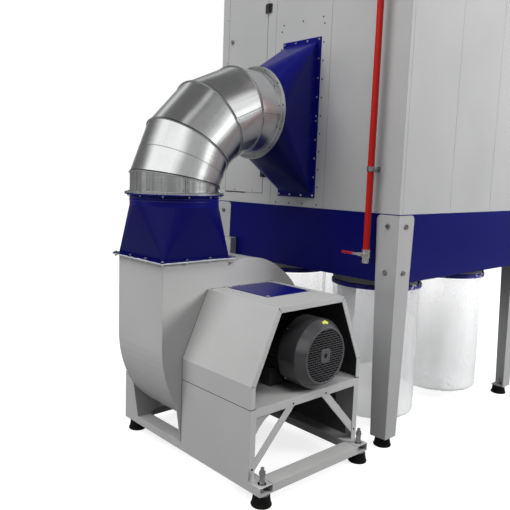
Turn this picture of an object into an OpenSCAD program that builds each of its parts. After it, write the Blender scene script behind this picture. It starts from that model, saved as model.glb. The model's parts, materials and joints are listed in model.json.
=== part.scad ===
// Sawdust extractor: a radial fan on its own base blows through a duct elbow into a filter
// housing, and the dust drops into clear bags below it.
// X runs along the fan shaft towards the motor, Y runs from the fan into the housing, Z is up.
// The origin is under the middle of the near front foot of the fan base. The modules draw
// from the near front corner of the base, and set_down() moves each piece to that origin.

/* [Fan base] */
// Length of the base rails
base_l = 1100; // [1000:10:1300]
// Width over both rails
base_w = 750; // [700:10:900]
// Width of a rail tube
rail_w = 80; // [60:5:100]
// Height of a rail tube
rail_h = 40; // [30:5:60]
// Wall of a rail tube
rail_t = 3; // [2:0.5:5]
// Height of the rubber feet
foot_h = 55; // [40:5:80]
// Radius of a foot at the floor
foot_r = 47; // [35:1:60]
// Distance of a front foot from the end of its rail
foot_front = 28; // [20:1:120]
// Distance of a rear foot from the end of its rail
foot_rear = 65; // [50:1:120]
// Distance of a foot from the side of its rail
foot_side = 38; // [30:1:45]
// Radius of a foot stud
stud_r = 8; // [6:1:10]

/* [Motor bay] */
// Setback of the bay's front from the rail ends
bay_setback = 75; // [60:5:150]
// Height of the motor deck
deck_z = 420; // [380:5:460]
// Depth of the deck's front fold
deck_fold = 40; // [25:5:60]
// Width of the upright folds at the front
post_fold = 35; // [25:5:50]
// Height where the hood starts to slope in
hood_knee_z = 525; // [480:5:600]
// Height of the hood's flat top
hood_top_z = 855; // [820:5:950]
// How far the slopes run in on each side
hood_slope_y = 150; // [100:5:200]
// Width of the hood's front fold
hood_fold = 26; // [15:1:40]
// Sheet of the bay and hood
sheet_t = 3; // [2:0.5:5]
// Width of the diagonal braces
brace_w = 40; // [30:1:60]
// Side of the square cover plate on the hood
cover_side = 290; // [200:5:330]
// How far the cover plate lies from the hood's middle, towards the fan and across
cover_back = 81; // [60:1:95]
cover_across = 33; // [0:1:40]

/* [Fan] */
// Height of the shaft
shaft_z = 598; // [590:1:640]
// Place of the shaft across the base
fan_y = 430; // [400:5:440]
// Width of the scroll over both side plates
scroll_w = 400; // [340:10:420]
// Front of the motor side plate, behind the rail ends
scroll_back = 575; // [560:5:700]
// Radius of the scroll at its tongue
tongue_r = 395; // [370:5:420]
// Largest radius of the scroll
scroll_r = 550; // [520:5:560]
// Thickness of the side plates
plate_t = 5; // [3:1:8]
// Sheet of the scroll's wrapper
wrap_t = 3; // [2:0.5:5]
// Height of the outlet flange
outlet_z = 1000; // [980:5:1050]
// Depth of the outlet neck
outlet_d = 400; // [340:10:420]
// Overhang and thickness of the outlet flanges
flange_over = 25; // [20:1:40]
flange_t = 6; // [4:1:10]
// Length of the inlet collar
inlet_l = 85; // [60:5:110]
// Radius of the impeller
wheel_r = 330; // [280:5:345]

/* [Motor] */
// Radius of the stator
stator_r = 160; // [130:5:165]
// Radius of the fan cowl
cowl_r = 170; // [140:1:172]
// Radius of the cowl's grille face
grille_r = 138; // [110:1:150]
// End of the cowl, behind the rail ends
cowl_back = 32; // [20:1:60]
// Length of the cowl
cowl_l = 150; // [120:5:180]
// Radius of the shaft
shaft_r = 24; // [18:1:30]
// Sheet of the cowl
cowl_t = 3; // [2:0.5:4]

/* [Duct] */
// Outer radius of the round duct
duct_r = 225; // [190:5:240]
// Sheet of the duct
duct_t = 2; // [1.5:0.5:4]
// Width of the round flanges
ring_w = 25; // [20:1:35]
// Height of the square to round reducer
reducer_h = 250; // [220:5:300]
// Height of its round collar
collar_h = 60; // [40:5:90]
// Centre line radius of the elbow
bend_r = 469; // [440:1:520]
// Start of the bend below the collar flange
bend_drop = 29; // [20:1:45]
// Straight end of the elbow
bend_tail = 51; // [30:1:80]
// Number of duct pieces in the elbow
gores = 5; // [5]

/* [Transition] */
// Width of the flange on the housing
trans_w = 292; // [260:2:320]
// Height of the flange on the housing
trans_h = 893; // [700:1:900]
// Width of that flange's rim
trans_rim = 25; // [20:1:35]
// Sideways step from the duct to the flange
trans_step = 44; // [30:1:60]
// How far the flange's middle lies below the duct's
trans_drop = 12; // [0:1:20]
// Length of the transition
trans_l = 313; // [280:1:360]

/* [Housing] */
// Length of the housing
house_l = 1425; // [1420:5:1500]
// Depth of the housing
house_d = 1425; // [1300:5:1600]
// Height of the roof
house_top = 3000; // [2950:10:3300]
// Bottom of the grey panels
panel_z = 1247; // [1240:1:1260]
// Bottom of the blue skirt
skirt_z = 892; // [860:1:900]
// Right end of the housing, behind the rail ends
house_end = 15; // [5:1:30]
// Depth of the folded panels
panel_d = 25; // [15:1:25]
// Sheet of the panels
panel_t = 2; // [1.5:0.5:3]
// Open joint between panels
panel_gap = 2; // [1:0.5:4]
// Side of the corner posts
post_side = 25; // [25:1:38]
// Width of the door column
door_column = 494; // [470:1:510]
// Width of the middle column
mid_column = 429; // [400:1:440]
// Height of the roof's edge fold
roof_h = 60; // [40:5:100]

/* [Door] */
// Width of the door
door_w = 352; // [320:1:360]
// Distance of the door's hinge side from the end of its column
door_side = 76; // [70:1:80]
// Height of the door
door_h = 1228; // [1100:1:1240]
// Bottom of the door
door_z = 1315; // [1310:1:1330]
// Depth of the door's edge folds
door_d = 25; // [20:1:30]
// Gap round the door
door_gap = 7; // [7:0.5:9]
// Distance of a hinge's middle from the door's end
hinge_in = 123; // [90:1:160]
// Side of a hinge
hinge_side = 50; // [40:1:60]
// Radius of a hinge pin
pin_r = 4; // [3:0.5:6]

/* [Legs and bags] */
// Width of a leg plate at the top
leg_top_w = 130; // [110:1:150]
// Width of a leg plate at the foot
leg_foot_w = 90; // [80:1:100]
// Thickness of a leg plate
leg_t = 5; // [4:1:8]
// Radius of a bag collar
bag_r = 250; // [220:5:260]
// Height of a bag collar
bag_collar_h = 77; // [60:1:100]
// Height of a bag's bottom over the floor
bag_z = 60; // [30:5:120]
// Bag centres from the housing's ends
bag_in_x = 356; // [350:1:370]
// Bag centres from the housing's front and back
bag_in_y = 340; // [330:1:370]

/* [Extinguishing pipe] */
// Radius of the pipe
pipe_r = 17; // [12:1:20]
// Place of the pipe, behind the rail ends
pipe_back = 165; // [150:1:185]
// Stand off from the panel to the pipe's middle
pipe_off = 55; // [50:1:70]
// Bottom end of the pipe
pipe_z = 1057; // [1040:1:1080]

/* [Hidden] */
// Room between pieces that swing or are slipped in
run = 0.3;
// How far a cutting solid runs past a face
cut = 1;
round_fn = 96;
base_z = foot_h + rail_h;
// A foot narrows towards its top to this share of its radius
foot_taper = 0.77;
// Nut on a foot stud, and how far the stud runs past what it clamps
nut_h = 14;
stud_over = 30;
// Height of the sleeve under the nut, on the fan base and on a leg's foot plate
sleeve_tall = 46;
sleeve_flat = 4;
bay_x = -bay_setback;
deck_drop = 3;
scroll_x1 = -scroll_back;
scroll_x0 = scroll_x1 - scroll_w;
scroll_x = (scroll_x0 + scroll_x1) / 2;
scroll_face = fan_y - scroll_r;
outlet_y1 = scroll_face + outlet_d;
duct_y = (scroll_face + outlet_y1) / 2;
reducer_z = outlet_z + flange_t;
reducer_top = reducer_z + flange_t + reducer_h;
collar_top = reducer_top + collar_h;
bend_z = collar_top - bend_drop;
bend_y = duct_y + bend_r;
duct_z = bend_z + bend_r;
tail_y = bend_y + bend_tail;
house_y0 = tail_y + 2 * flange_t + trans_l;
house_y1 = house_y0 + house_d;
house_x1 = -house_end;
house_x0 = house_x1 - house_l;
trans_x = scroll_x + trans_step;
column_1 = house_x0 + door_column;
column_2 = column_1 + mid_column;
door_x1 = column_1 - door_side;
door_x0 = door_x1 - door_w;
door_top = door_z + door_h;
// A hinge pin lies this far past the gap round the door
pin_off = 3;
hinge_x = door_x1 + door_gap + pin_off;
hinge_t = 8;
hinge_y = house_y0 - hinge_t;
panel_top = house_top - roof_h;
cowl_x1 = -cowl_back;
cowl_x0 = cowl_x1 - cowl_l;
pipe_x = -pipe_back;
pipe_y = house_y0 - pipe_off;
valve_z = pipe_z - 22;
gore_half = 45 / (gores - 1);
bag_xs = [house_x0 + bag_in_x, house_x1 - bag_in_x];
bag_ys = [house_y0 + bag_in_y, house_y1 - bag_in_y];
leg_top = panel_z - 5;

// ---- shared shapes ----

function unit(v) = v / norm(v);
function inward(v) = [-v.y, v.x] / norm(v);
// An outline moved inwards by d; its points run anticlockwise.
function inset(p, d) = [
    for (i = [0 : len(p) - 1])
        let (a = p[(i + len(p) - 1) % len(p)], b = p[i], c = p[(i + 1) % len(p)])
        let (m = inward(b - a), n = inward(c - b))
        b + d * (m + n) / (1 + m * n)
];

// Extrudes a YZ outline from x0 to x1.
module along_x(x0, x1) {
    translate([x0, 0, 0])
        rotate([90, 0, 90])
            linear_extrude(x1 - x0)
                children();
}

// Extrudes an XZ outline from y0 to y1.
module along_y(y0, y1) {
    translate([0, y1, 0])
        rotate([90, 0, 0])
            linear_extrude(y1 - y0)
                children();
}

module block(lo, hi) {
    translate(lo)
        cube(hi - lo);
}

module rod_x(r, x0, x1, fn = 64) {
    translate([x0, 0, 0])
        rotate([0, 90, 0])
            cylinder(r = r, h = x1 - x0, $fn = fn);
}

module rod_y(r, y0, y1, fn = 64) {
    translate([0, y1, 0])
        rotate([90, 0, 0])
            cylinder(r = r, h = y1 - y0, $fn = fn);
}

module ring(r_out, r_in, h) {
    difference() {
        cylinder(r = r_out, h = h, $fn = round_fn);
        translate([0, 0, -cut])
            cylinder(r = r_in, h = h + 2 * cut, $fn = round_fn);
    }
}

// ---- fan base ----

foot_xs = [-base_l + foot_rear, -foot_front];
foot_ys = [foot_side, base_w - foot_side];

module set_down() {
    translate([foot_front, -foot_side, 0])
        children();
}

module rail(y0) {
    difference() {
        block([-base_l, y0, foot_h], [0, y0 + rail_w, base_z]);
        block([-base_l - cut, y0 + rail_t, foot_h + rail_t], [cut, y0 + rail_w - rail_t, base_z - rail_t]);
        for (x = foot_xs, y = foot_ys)
            translate([x, y, 0])
                cylinder(r = stud_r + run, h = base_z + cut, $fn = 48);
    }
}

module cross_rail(x0) {
    difference() {
        block([x0, rail_w, foot_h], [x0 + rail_w, base_w - rail_w, base_z]);
        block([x0 + rail_t, rail_w - cut, foot_h + rail_t],
            [x0 + rail_w - rail_t, base_w - rail_w + cut, base_z - rail_t]);
    }
}

module rail_near() {
    color("silver")
        rail(0);
}

module rail_far() {
    color("silver")
        rail(base_w - rail_w);
}

module cross_rail_front() {
    color("silver")
        cross_rail(-rail_w);
}

module cross_rail_rear() {
    color("silver")
        cross_rail(-base_l);
}

module rubber_foot() {
    difference() {
        cylinder(r1 = foot_r, r2 = foot_r * foot_taper, h = foot_h, $fn = 64);
        translate([0, 0, foot_h / 2])
            cylinder(r = stud_r, h = foot_h, $fn = 48);
    }
}

// A threaded stud in a rubber foot; what it carries reaches up to seat_z, with a nut on top.
module foot_stud(seat_z, sleeve_h) {
    translate([0, 0, foot_h / 2])
        cylinder(r = stud_r, h = seat_z + sleeve_h + stud_over - foot_h / 2, $fn = 48);
    translate([0, 0, seat_z])
        cylinder(r = stud_r * 1.5, h = sleeve_h, $fn = 48);
    translate([0, 0, seat_z + sleeve_h])
        cylinder(r = stud_r * 1.8, h = nut_h, $fn = 6);
}

module fan_feet() {
    color([0.05, 0.05, 0.05])
        for (x = foot_xs, y = foot_ys)
            translate([x, y, 0])
                rubber_foot();
}

module fan_foot_studs() {
    color("gray")
        for (x = foot_xs, y = foot_ys)
            translate([x, y, 0])
                foot_stud(base_z, sleeve_tall);
}

// ---- motor bay ----

// A brace runs from the foot of a front post up to the deck's fold.
brace_foot = [20, base_z + 50];
brace_top = [base_w / 2 - 112, deck_z - 30];
brace_over = 14;
brace_x = bay_x - sheet_t;

module bay_side() {
    block([scroll_x1, 0, base_z], [bay_x, sheet_t, deck_z]);
    block([bay_x - sheet_t, 0, base_z], [bay_x, post_fold, deck_z]);
}

module mirror_y() {
    translate([0, base_w, 0])
        mirror([0, 1, 0])
            children();
}

module bay_side_near() {
    color("silver")
        bay_side();
}

module bay_side_far() {
    color("silver")
        mirror_y()
            bay_side();
}

module motor_deck() {
    color("silver") {
        block([scroll_x1, sheet_t, deck_z - sheet_t], [bay_x - sheet_t, base_w - sheet_t, deck_z]);
        block([bay_x - sheet_t, post_fold, deck_z - deck_fold],
            [bay_x, base_w - post_fold, deck_z]);
    }
}

module brace() {
    d = unit(brace_top - brace_foot);
    s = [-d.y, d.x] * brace_w / 2;
    brace_end = brace_top + d * brace_over;
    along_x(brace_x - sheet_t, brace_x)
        polygon([brace_foot - s, brace_end - s, brace_end + s, brace_foot + s]);
}

module diagonal_braces() {
    color("silver") {
        brace();
        mirror_y()
            brace();
    }
}

hood_line = [
    [0, deck_z + deck_drop], [base_w, deck_z + deck_drop], [base_w, hood_knee_z],
    [base_w - hood_slope_y, hood_top_z], [hood_slope_y, hood_top_z], [0, hood_knee_z]
];

// The sheet of the hood: its outline less the same outline moved in, open at the bottom.
module hood_band(width) {
    difference() {
        polygon(hood_line);
        polygon(inset(hood_line, width));
        translate([width, deck_z - width])
            square([base_w - 2 * width, deck_drop + 3 * width]);
    }
}

module motor_hood() {
    color("silver") {
        along_x(scroll_x1, bay_x)
            hood_band(sheet_t);
        along_x(bay_x - sheet_t, bay_x)
            hood_band(hood_fold);
        for (side = [0, 1])
            translate([0, side * (base_w - sheet_t), 0])
                block([scroll_x1, 0, deck_z], [bay_x, sheet_t, deck_z + deck_drop]);
    }
}

module cover_plate() {
    middle = [(scroll_x1 + bay_x) / 2 - cover_back, base_w / 2 + cover_across];
    half = cover_side / 2;
    color([0.25, 0.25, 0.5])
        block([middle.x - half, middle.y - half, hood_top_z],
            [middle.x + half, middle.y + half, hood_top_z + sheet_t]);
}

module rear_posts() {
    rear_h = 320;
    color("silver") {
        for (side = [0, 1])
            translate([0, side * base_w, 0])
                mirror([0, side, 0]) {
                    block([-base_l, 0, base_z], [-base_l + sheet_t, post_fold, rear_h]);
                    block([-base_l, 0, base_z], [scroll_x0, sheet_t, rear_h]);
                }
        block([-base_l, post_fold, base_z], [-base_l + sheet_t, base_w - post_fold, rear_h]);
    }
}

// ---- fan ----

// Radius of the scroll at an angle in its plane, from 180 at the flat face to the tongue.
tongue_a = 90 + asin((fan_y - outlet_y1) / tongue_r) + 360;
// Back from the tongue the radius first holds over one angle, then grows over the next.
even_turn = 60;
growing_turn = 195;
function scroll_radius(a) =
    let (turn = tongue_a - a)
    tongue_r + (scroll_r - tongue_r) * min(1, max(0, (turn - even_turn) / growing_turn));
function on_scroll(a) = [fan_y, shaft_z] + scroll_radius(a) * [cos(a), sin(a)];
scroll_steps = 72;
scroll_line = concat(
    [[scroll_face, outlet_z]],
    [for (i = [0 : scroll_steps]) on_scroll(180 + (tongue_a - 180) * i / scroll_steps)],
    [[outlet_y1, outlet_z]]
);

module scroll_wrapper() {
    color("silver")
        along_x(scroll_x0 + plate_t, scroll_x1 - plate_t)
            difference() {
                polygon(scroll_line);
                polygon(inset(scroll_line, wrap_t));
                translate([scroll_face + wrap_t, outlet_z - 3 * wrap_t])
                    square([outlet_d - 2 * wrap_t, 6 * wrap_t]);
            }
}

// Angles where the near and the far leg of a side plate meet the scroll.
near_leg = [213, 240];
far_leg = [298, 316];

// A side plate of the scroll with its two tapered legs on the rails.
module scroll_plate(x0, hole_r) {
    difference() {
        along_x(x0, x0 + plate_t) {
            polygon(scroll_line);
            polygon([on_scroll(near_leg[0]), [0, base_z], [rail_w, base_z], on_scroll(near_leg[1])]);
            polygon([on_scroll(far_leg[1]), on_scroll(far_leg[0]),
                [base_w - rail_w, base_z], [base_w, base_z]]);
        }
        translate([0, fan_y, shaft_z])
            rod_x(hole_r, x0 - cut, x0 + plate_t + cut, round_fn);
    }
}

module scroll_plate_motor() {
    color("silver")
        scroll_plate(scroll_x1 - plate_t, shaft_r + 6);
}

module scroll_plate_inlet() {
    color("silver")
        scroll_plate(scroll_x0, duct_r - wrap_t);
}

module inlet_collar() {
    color("silver")
        translate([scroll_x0, fan_y, shaft_z])
            rotate([0, -90, 0]) {
                ring(duct_r, duct_r - wrap_t, inlet_l);
                ring(duct_r + ring_w, duct_r - wrap_t, flange_t);
            }
}

// A closed wheel of blades between a back plate and an inlet ring, on the motor shaft.
module impeller() {
    wheel_w = 160;
    back_t = 5;
    ring_t = 4;
    blade_t = 4;
    blade_lean = 40;
    blades = 10;
    hub_r = 60;
    hub_l = 125;
    x0 = scroll_x1 - plate_t - 40 - wheel_w;
    x1 = x0 + wheel_w;
    color([0.3, 0.3, 0.32])
        translate([0, fan_y, shaft_z]) {
            difference() {
                union() {
                    rod_x(wheel_r, x1, x1 + back_t, round_fn);
                    rod_x(hub_r, x1 + 25 - hub_l, x1 + 25);
                }
                rod_x(shaft_r + 0.05, x0, scroll_x1, round_fn);
            }
            difference() {
                rod_x(wheel_r, x0 - ring_t, x0, round_fn);
                rod_x(duct_r - 15, x0 - ring_t - cut, x0 + cut, round_fn);
            }
            for (i = [0 : blades - 1])
                rotate([i * 360 / blades, 0, 0])
                    translate([x0, duct_r, 0])
                        rotate([blade_lean, 0, 0])
                            translate([-2, -10, -blade_t / 2])
                                cube([wheel_w + 4, wheel_r - duct_r + 15, blade_t]);
        }
}

// ---- motor ----

fin_r = stator_r - 6;
motor_x0 = scroll_x1 + 45;
motor_x1 = cowl_x0 + 30;

module motor_body() {
    shield_l = 30;
    neck_r = 70;
    core_r = fin_r - 10;
    fins = 40;
    fin_t = 4;
    fin_in = 18;
    foot = [60, 80, 90];
    foot_y = 110;
    color([0.22, 0.22, 0.24])
        translate([0, fan_y, shaft_z]) {
            rod_x(core_r, motor_x0 + 10, motor_x1 - 10, round_fn);
            for (i = [0 : fins - 1])
                rotate([(i + 0.5) * 360 / fins, 0, 0])
                    translate([motor_x0 + 20, -fin_t / 2, fin_r - fin_in])
                        cube([motor_x1 - motor_x0 - 40, fin_t, fin_in]);
            rod_x(stator_r, motor_x0, motor_x0 + shield_l, round_fn);
            rod_x(cowl_r - cowl_t, motor_x1 - shield_l, motor_x1, round_fn);
            rod_x(neck_r, scroll_x1, motor_x0 + 1);
            rod_x(shaft_r, scroll_x1 - plate_t - 180, scroll_x1 + 1, round_fn);
            for (x = [motor_x0 + 50, motor_x1 - 150], side = [-1, 1])
                translate([x, side * foot_y - foot.y / 2, deck_z - shaft_z])
                    cube(foot);
        }
}

module motor_cowl() {
    taper = 45;
    color([0.25, 0.25, 0.27])
        translate([0, fan_y, shaft_z])
            rotate([0, 90, 0])
                rotate_extrude($fn = round_fn)
                    polygon([
                        [cowl_r - cowl_t, cowl_x0], [cowl_r, cowl_x0], [cowl_r, cowl_x1 - taper],
                        [grille_r, cowl_x1], [0, cowl_x1], [0, cowl_x1 - cowl_t],
                        [grille_r - cowl_t, cowl_x1 - cowl_t], [cowl_r - cowl_t, cowl_x1 - taper - 1]
                    ]);
}

// The box lies on the tops of the fins.
module motor_terminal_box() {
    box = [150, 100, 120];
    x0 = scroll_x1 + 120;
    color([0.2, 0.2, 0.22])
        difference() {
            translate([x0, fan_y - stator_r - 60, shaft_z - 75])
                cube(box);
            translate([0, fan_y, shaft_z])
                rod_x(fin_r + 0.1, x0 - cut, x0 + box.x + cut, round_fn);
        }
}

// ---- duct ----

neck_x = [scroll_x0, scroll_x1];
neck_y = [scroll_face, outlet_y1];

module neck_flange(z, wall) {
    difference() {
        block([neck_x[0] - flange_over, neck_y[0] - flange_over, z],
            [neck_x[1] + flange_over, neck_y[1] + flange_over, z + flange_t]);
        block([neck_x[0] + wall, neck_y[0] + wall, z - cut],
            [neck_x[1] - wall, neck_y[1] - wall, z + flange_t + cut]);
    }
}

module outlet_flange() {
    color("silver")
        neck_flange(outlet_z, plate_t);
}

// Solid between the neck's rectangle, moved in by d, and the round duct.
module reducer_solid(d) {
    hull() {
        block([neck_x[0] + d, neck_y[0] + d, reducer_z + flange_t - (d > 0 ? cut : 0)],
            [neck_x[1] - d, neck_y[1] - d, reducer_z + flange_t + 1]);
        translate([scroll_x, duct_y, reducer_top - 1])
            cylinder(r = duct_r - d, h = 1 + (d > 0 ? cut : 0), $fn = 64);
    }
}

module reducer() {
    color([0.08, 0.08, 0.35]) {
        difference() {
            reducer_solid(0);
            reducer_solid(wrap_t);
        }
        neck_flange(reducer_z, plate_t);
    }
}

module reducer_collar() {
    color([0.08, 0.08, 0.35])
        translate([scroll_x, duct_y, reducer_top]) {
            ring(duct_r, duct_r - wrap_t, collar_h);
            translate([0, 0, collar_h - flange_t])
                ring(duct_r + ring_w, duct_r - wrap_t, flange_t);
        }
}

// Outline of the wedge that one piece of the elbow fills, seen along the bend's axis.
// The first piece starts above the bend's start, and the last runs on past its end.
function gore_wedge(k, far, rise) =
    k == 0 ? [[-bend_drop / tan(gore_half), bend_drop], [-far, rise], [-far, bend_drop]]
    : k == gores - 1 ? [[0, bend_tail], [-far, bend_tail], [-far, -rise], [0, 0]]
    : [[0, 0], [-far, rise], [-far, -rise]];

module elbow_gore(k) {
    far = bend_r + 2 * duct_r;
    rise = far * tan(gore_half);
    half_tube = rise + bend_tail;
    translate([scroll_x, bend_y, bend_z])
        rotate([-90 * k / (gores - 1), 0, 0]) {
            intersection() {
                translate([0, -bend_r, -half_tube])
                    ring(duct_r, duct_r - duct_t, 2 * half_tube);
                along_x(-2 * duct_r, 2 * duct_r)
                    polygon(gore_wedge(k, far, rise));
            }
            if (k == 0)
                translate([0, -bend_r, bend_drop])
                    ring(duct_r + ring_w, duct_r - duct_t, flange_t);
            if (k == gores - 1)
                translate([0, -bend_r, bend_tail - flange_t])
                    ring(duct_r + ring_w, duct_r - duct_t, flange_t);
        }
}

module elbow_gore_1() {
    color("lightgray")
        elbow_gore(0);
}

module elbow_gore_2() {
    color("lightgray")
        elbow_gore(1);
}

module elbow_gore_3() {
    color("lightgray")
        elbow_gore(2);
}

module elbow_gore_4() {
    color("lightgray")
        elbow_gore(3);
}

module elbow_gore_5() {
    color("lightgray")
        elbow_gore(4);
}

trans_y0 = tail_y + flange_t;
trans_mid = duct_z - trans_drop;
throat = [trans_w / 2 - trans_rim, trans_h / 2 - trans_rim];

module transition_solid(d) {
    hull() {
        translate([scroll_x, 0, duct_z])
            rod_y(duct_r - d, trans_y0 - (d > 0 ? cut : 0), trans_y0 + 1);
        block([trans_x - throat.x + d, house_y0 - flange_t - 1, trans_mid - throat.y + d],
            [trans_x + throat.x - d, house_y0 - flange_t + (d > 0 ? cut : 0), trans_mid + throat.y - d]);
    }
}

module transition() {
    color([0.08, 0.08, 0.35]) {
        difference() {
            transition_solid(0);
            transition_solid(wrap_t);
        }
        translate([scroll_x, tail_y, duct_z])
            difference() {
                rod_y(duct_r + ring_w, 0, flange_t, round_fn);
                rod_y(duct_r - wrap_t, -cut, flange_t + cut, round_fn);
            }
        difference() {
            block([trans_x - trans_w / 2, house_y0 - flange_t, trans_mid - trans_h / 2],
                [trans_x + trans_w / 2, house_y0, trans_mid + trans_h / 2]);
            block([trans_x - throat.x + wrap_t, house_y0 - flange_t - cut, trans_mid - throat.y + wrap_t],
                [trans_x + throat.x - wrap_t, house_y0 + cut, trans_mid + throat.y - wrap_t]);
        }
    }
}

// ---- housing ----

// A folded panel lying in XZ with its skin towards -Y and its edges folded to +Y.
module pan(x0, x1, z0, z1, depth = panel_d) {
    difference() {
        block([x0, 0, z0], [x1, depth, z1]);
        block([x0 + panel_t, panel_t, z0 + panel_t], [x1 - panel_t, depth + cut, z1 - panel_t]);
    }
}

module at_front() {
    translate([0, house_y0, 0])
        children();
}

module door_frame() {
    x0 = house_x0 + post_side;
    x1 = column_1 - panel_gap;
    edge = [door_x0 - door_gap, door_x1 + door_gap];
    color("gainsboro")
        at_front() {
            pan(x0, edge[0], panel_z, panel_top);
            pan(edge[1], x1, panel_z, panel_top);
            pan(edge[0], edge[1], panel_z, door_z - door_gap);
            pan(edge[0], edge[1], door_top + door_gap, panel_top);
        }
}

module front_panel_mid() {
    color("gainsboro")
        at_front()
            difference() {
                pan(column_1, column_2 - panel_gap, panel_z, panel_top);
                block([trans_x - throat.x, -cut, trans_mid - throat.y],
                    [trans_x + throat.x, panel_d, trans_mid + throat.y]);
            }
}

module front_panel_right() {
    color("gainsboro")
        at_front()
            pan(column_2, house_x1 - post_side, panel_z, panel_top);
}

// A row of equal panels from the corner post at 0 to the one at span.
module panel_row(span, count) {
    start = post_side + panel_gap;
    pitch = (span - 2 * post_side - panel_gap) / count;
    for (i = [0 : count - 1])
        pan(start + i * pitch, start + (i + 1) * pitch - panel_gap, panel_z, panel_top);
}

module end_panels_right() {
    color("gainsboro")
        translate([house_x1, house_y0, 0])
            rotate([0, 0, 90])
                panel_row(house_d, 3);
}

module end_panels_left() {
    color("gainsboro")
        translate([house_x0, house_y1, 0])
            rotate([0, 0, -90])
                panel_row(house_d, 3);
}

module rear_panels() {
    color("gainsboro")
        translate([house_x1, house_y1, 0])
            rotate([0, 0, 180])
                panel_row(house_l, 3);
}

module corner_posts() {
    color("gainsboro")
        for (x = [house_x0, house_x1 - post_side], y = [house_y0, house_y1 - post_side])
            block([x, y, panel_z], [x + post_side, y + post_side, panel_top]);
}

module roof() {
    lip = 4;
    lip_h = 30;
    color("gainsboro")
        difference() {
            block([house_x0 - lip, house_y0 - lip, panel_top - lip_h],
                [house_x1 + lip, house_y1 + lip, house_top]);
            block([house_x0, house_y0, panel_top - lip_h - cut], [house_x1, house_y1, panel_top]);
            block([house_x0, house_y0, panel_top - cut], [house_x1, house_y1, house_top - panel_t]);
        }
}

module skirt_pan(x0, x1) {
    pan(x0, x1, skirt_z, panel_z);
}

module skirt_front() {
    color([0.08, 0.08, 0.35])
        at_front()
            skirt_pan(house_x0, house_x1);
}

module skirt_rear() {
    color([0.08, 0.08, 0.35])
        translate([house_x1, house_y1, 0])
            rotate([0, 0, 180])
                skirt_pan(0, house_l);
}

module skirt_right() {
    color([0.08, 0.08, 0.35])
        translate([house_x1, house_y0, 0])
            rotate([0, 0, 90])
                skirt_pan(panel_d, house_d - panel_d);
}

module skirt_left() {
    color([0.08, 0.08, 0.35])
        translate([house_x0, house_y1, 0])
            rotate([0, 0, -90])
                skirt_pan(panel_d, house_d - panel_d);
}

module hopper_floor() {
    color([0.08, 0.08, 0.35])
        difference() {
            block([house_x0, house_y0, skirt_z - sheet_t], [house_x1, house_y1, skirt_z]);
            for (x = bag_xs, y = bag_ys)
                translate([x, y, skirt_z - 2 * sheet_t])
                    cylinder(r = bag_r - wrap_t, h = 3 * sheet_t, $fn = round_fn);
        }
}

module bag_collars() {
    top = skirt_z - sheet_t;
    color([0.08, 0.08, 0.35])
        for (x = bag_xs, y = bag_ys)
            translate([x, y, top - bag_collar_h]) {
                ring(bag_r, bag_r - wrap_t, bag_collar_h);
                ring(bag_r + 10, bag_r - wrap_t, 18);
            }
}

module bag(y) {
    for (x = bag_xs)
        translate([x, y, bag_z])
            cylinder(r = bag_r - wrap_t - run, h = skirt_z - sheet_t - 5 - bag_z, $fn = round_fn);
}

module bags_front() {
    color([0.8, 0.85, 0.9, 0.4])
        bag(bag_ys[0]);
}

module bags_rear() {
    color([0.8, 0.85, 0.9, 0.4])
        bag(bag_ys[1]);
}

// ---- housing legs ----

// One tapered face of a corner leg, from the corner at 0 along +X, with a rounded top corner.
module leg_face(extra) {
    round_r = 25;
    polygon([[-extra, foot_h], [leg_foot_w, foot_h], [leg_top_w, leg_top - round_r],
        [leg_top_w - round_r, leg_top - round_r], [leg_top_w - round_r, leg_top], [-extra, leg_top]]);
    translate([leg_top_w - round_r, leg_top - round_r])
        circle(r = round_r, $fn = 48);
}

// A corner leg outside the corner at 0, with its faces along +X and +Y and a foot plate.
module corner_leg() {
    difference() {
        union() {
            along_y(-leg_t, 0)
                leg_face(leg_t);
            rotate([0, 0, 90])
                along_y(0, leg_t)
                    leg_face(0);
            block([-leg_t, -leg_t, foot_h], [leg_foot_w - 10, leg_foot_w - 10, foot_h + leg_t]);
        }
        translate([leg_foot_w / 2, leg_foot_w / 2, 0])
            cylinder(r = stud_r + run, h = foot_h + leg_t + cut, $fn = 48);
    }
}

module at_corners() {
    for (sx = [0, 1], sy = [0, 1])
        translate([sx ? house_x1 : house_x0, sy ? house_y1 : house_y0, 0])
            mirror([sx, 0, 0])
                mirror([0, sy, 0])
                    children();
}

module housing_legs() {
    color("gainsboro")
        at_corners()
            corner_leg();
}

module housing_feet() {
    color([0.05, 0.05, 0.05])
        at_corners()
            translate([leg_foot_w / 2, leg_foot_w / 2, 0])
                rubber_foot();
}

module housing_foot_studs() {
    color("gray")
        at_corners()
            translate([leg_foot_w / 2, leg_foot_w / 2, 0])
                foot_stud(foot_h + leg_t, sleeve_flat);
}

// ---- door ----

module access_door() {
    color("gainsboro")
        at_front()
            pan(door_x0, door_x1, door_z, door_top, door_d);
}

hinge_zs = [door_z + hinge_in, door_top - hinge_in];
knuckle_r = 8;
knuckle_h = 12;
leaf_in = 9;
pin_y = hinge_y - 2;

// Each hinge: leaf and knuckles on the frame, with the pin that the door's own leaf turns on.
module door_hinges() {
    half = hinge_side / 2;
    color([0.05, 0.05, 0.05])
        for (z = hinge_zs) {
            block([hinge_x + leaf_in, hinge_y, z - half], [hinge_x + half, house_y0, z + half]);
            translate([hinge_x, pin_y, z - half])
                cylinder(r = pin_r, h = hinge_side, $fn = 48);
            for (foot_z = [z - half, z + half - knuckle_h])
                translate([hinge_x, pin_y, foot_z]) {
                    cylinder(r = knuckle_r, h = knuckle_h, $fn = 48);
                    translate([0, pin_y - hinge_y - 4, 0])
                        cube([12, 12, knuckle_h]);
                }
        }
}

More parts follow.
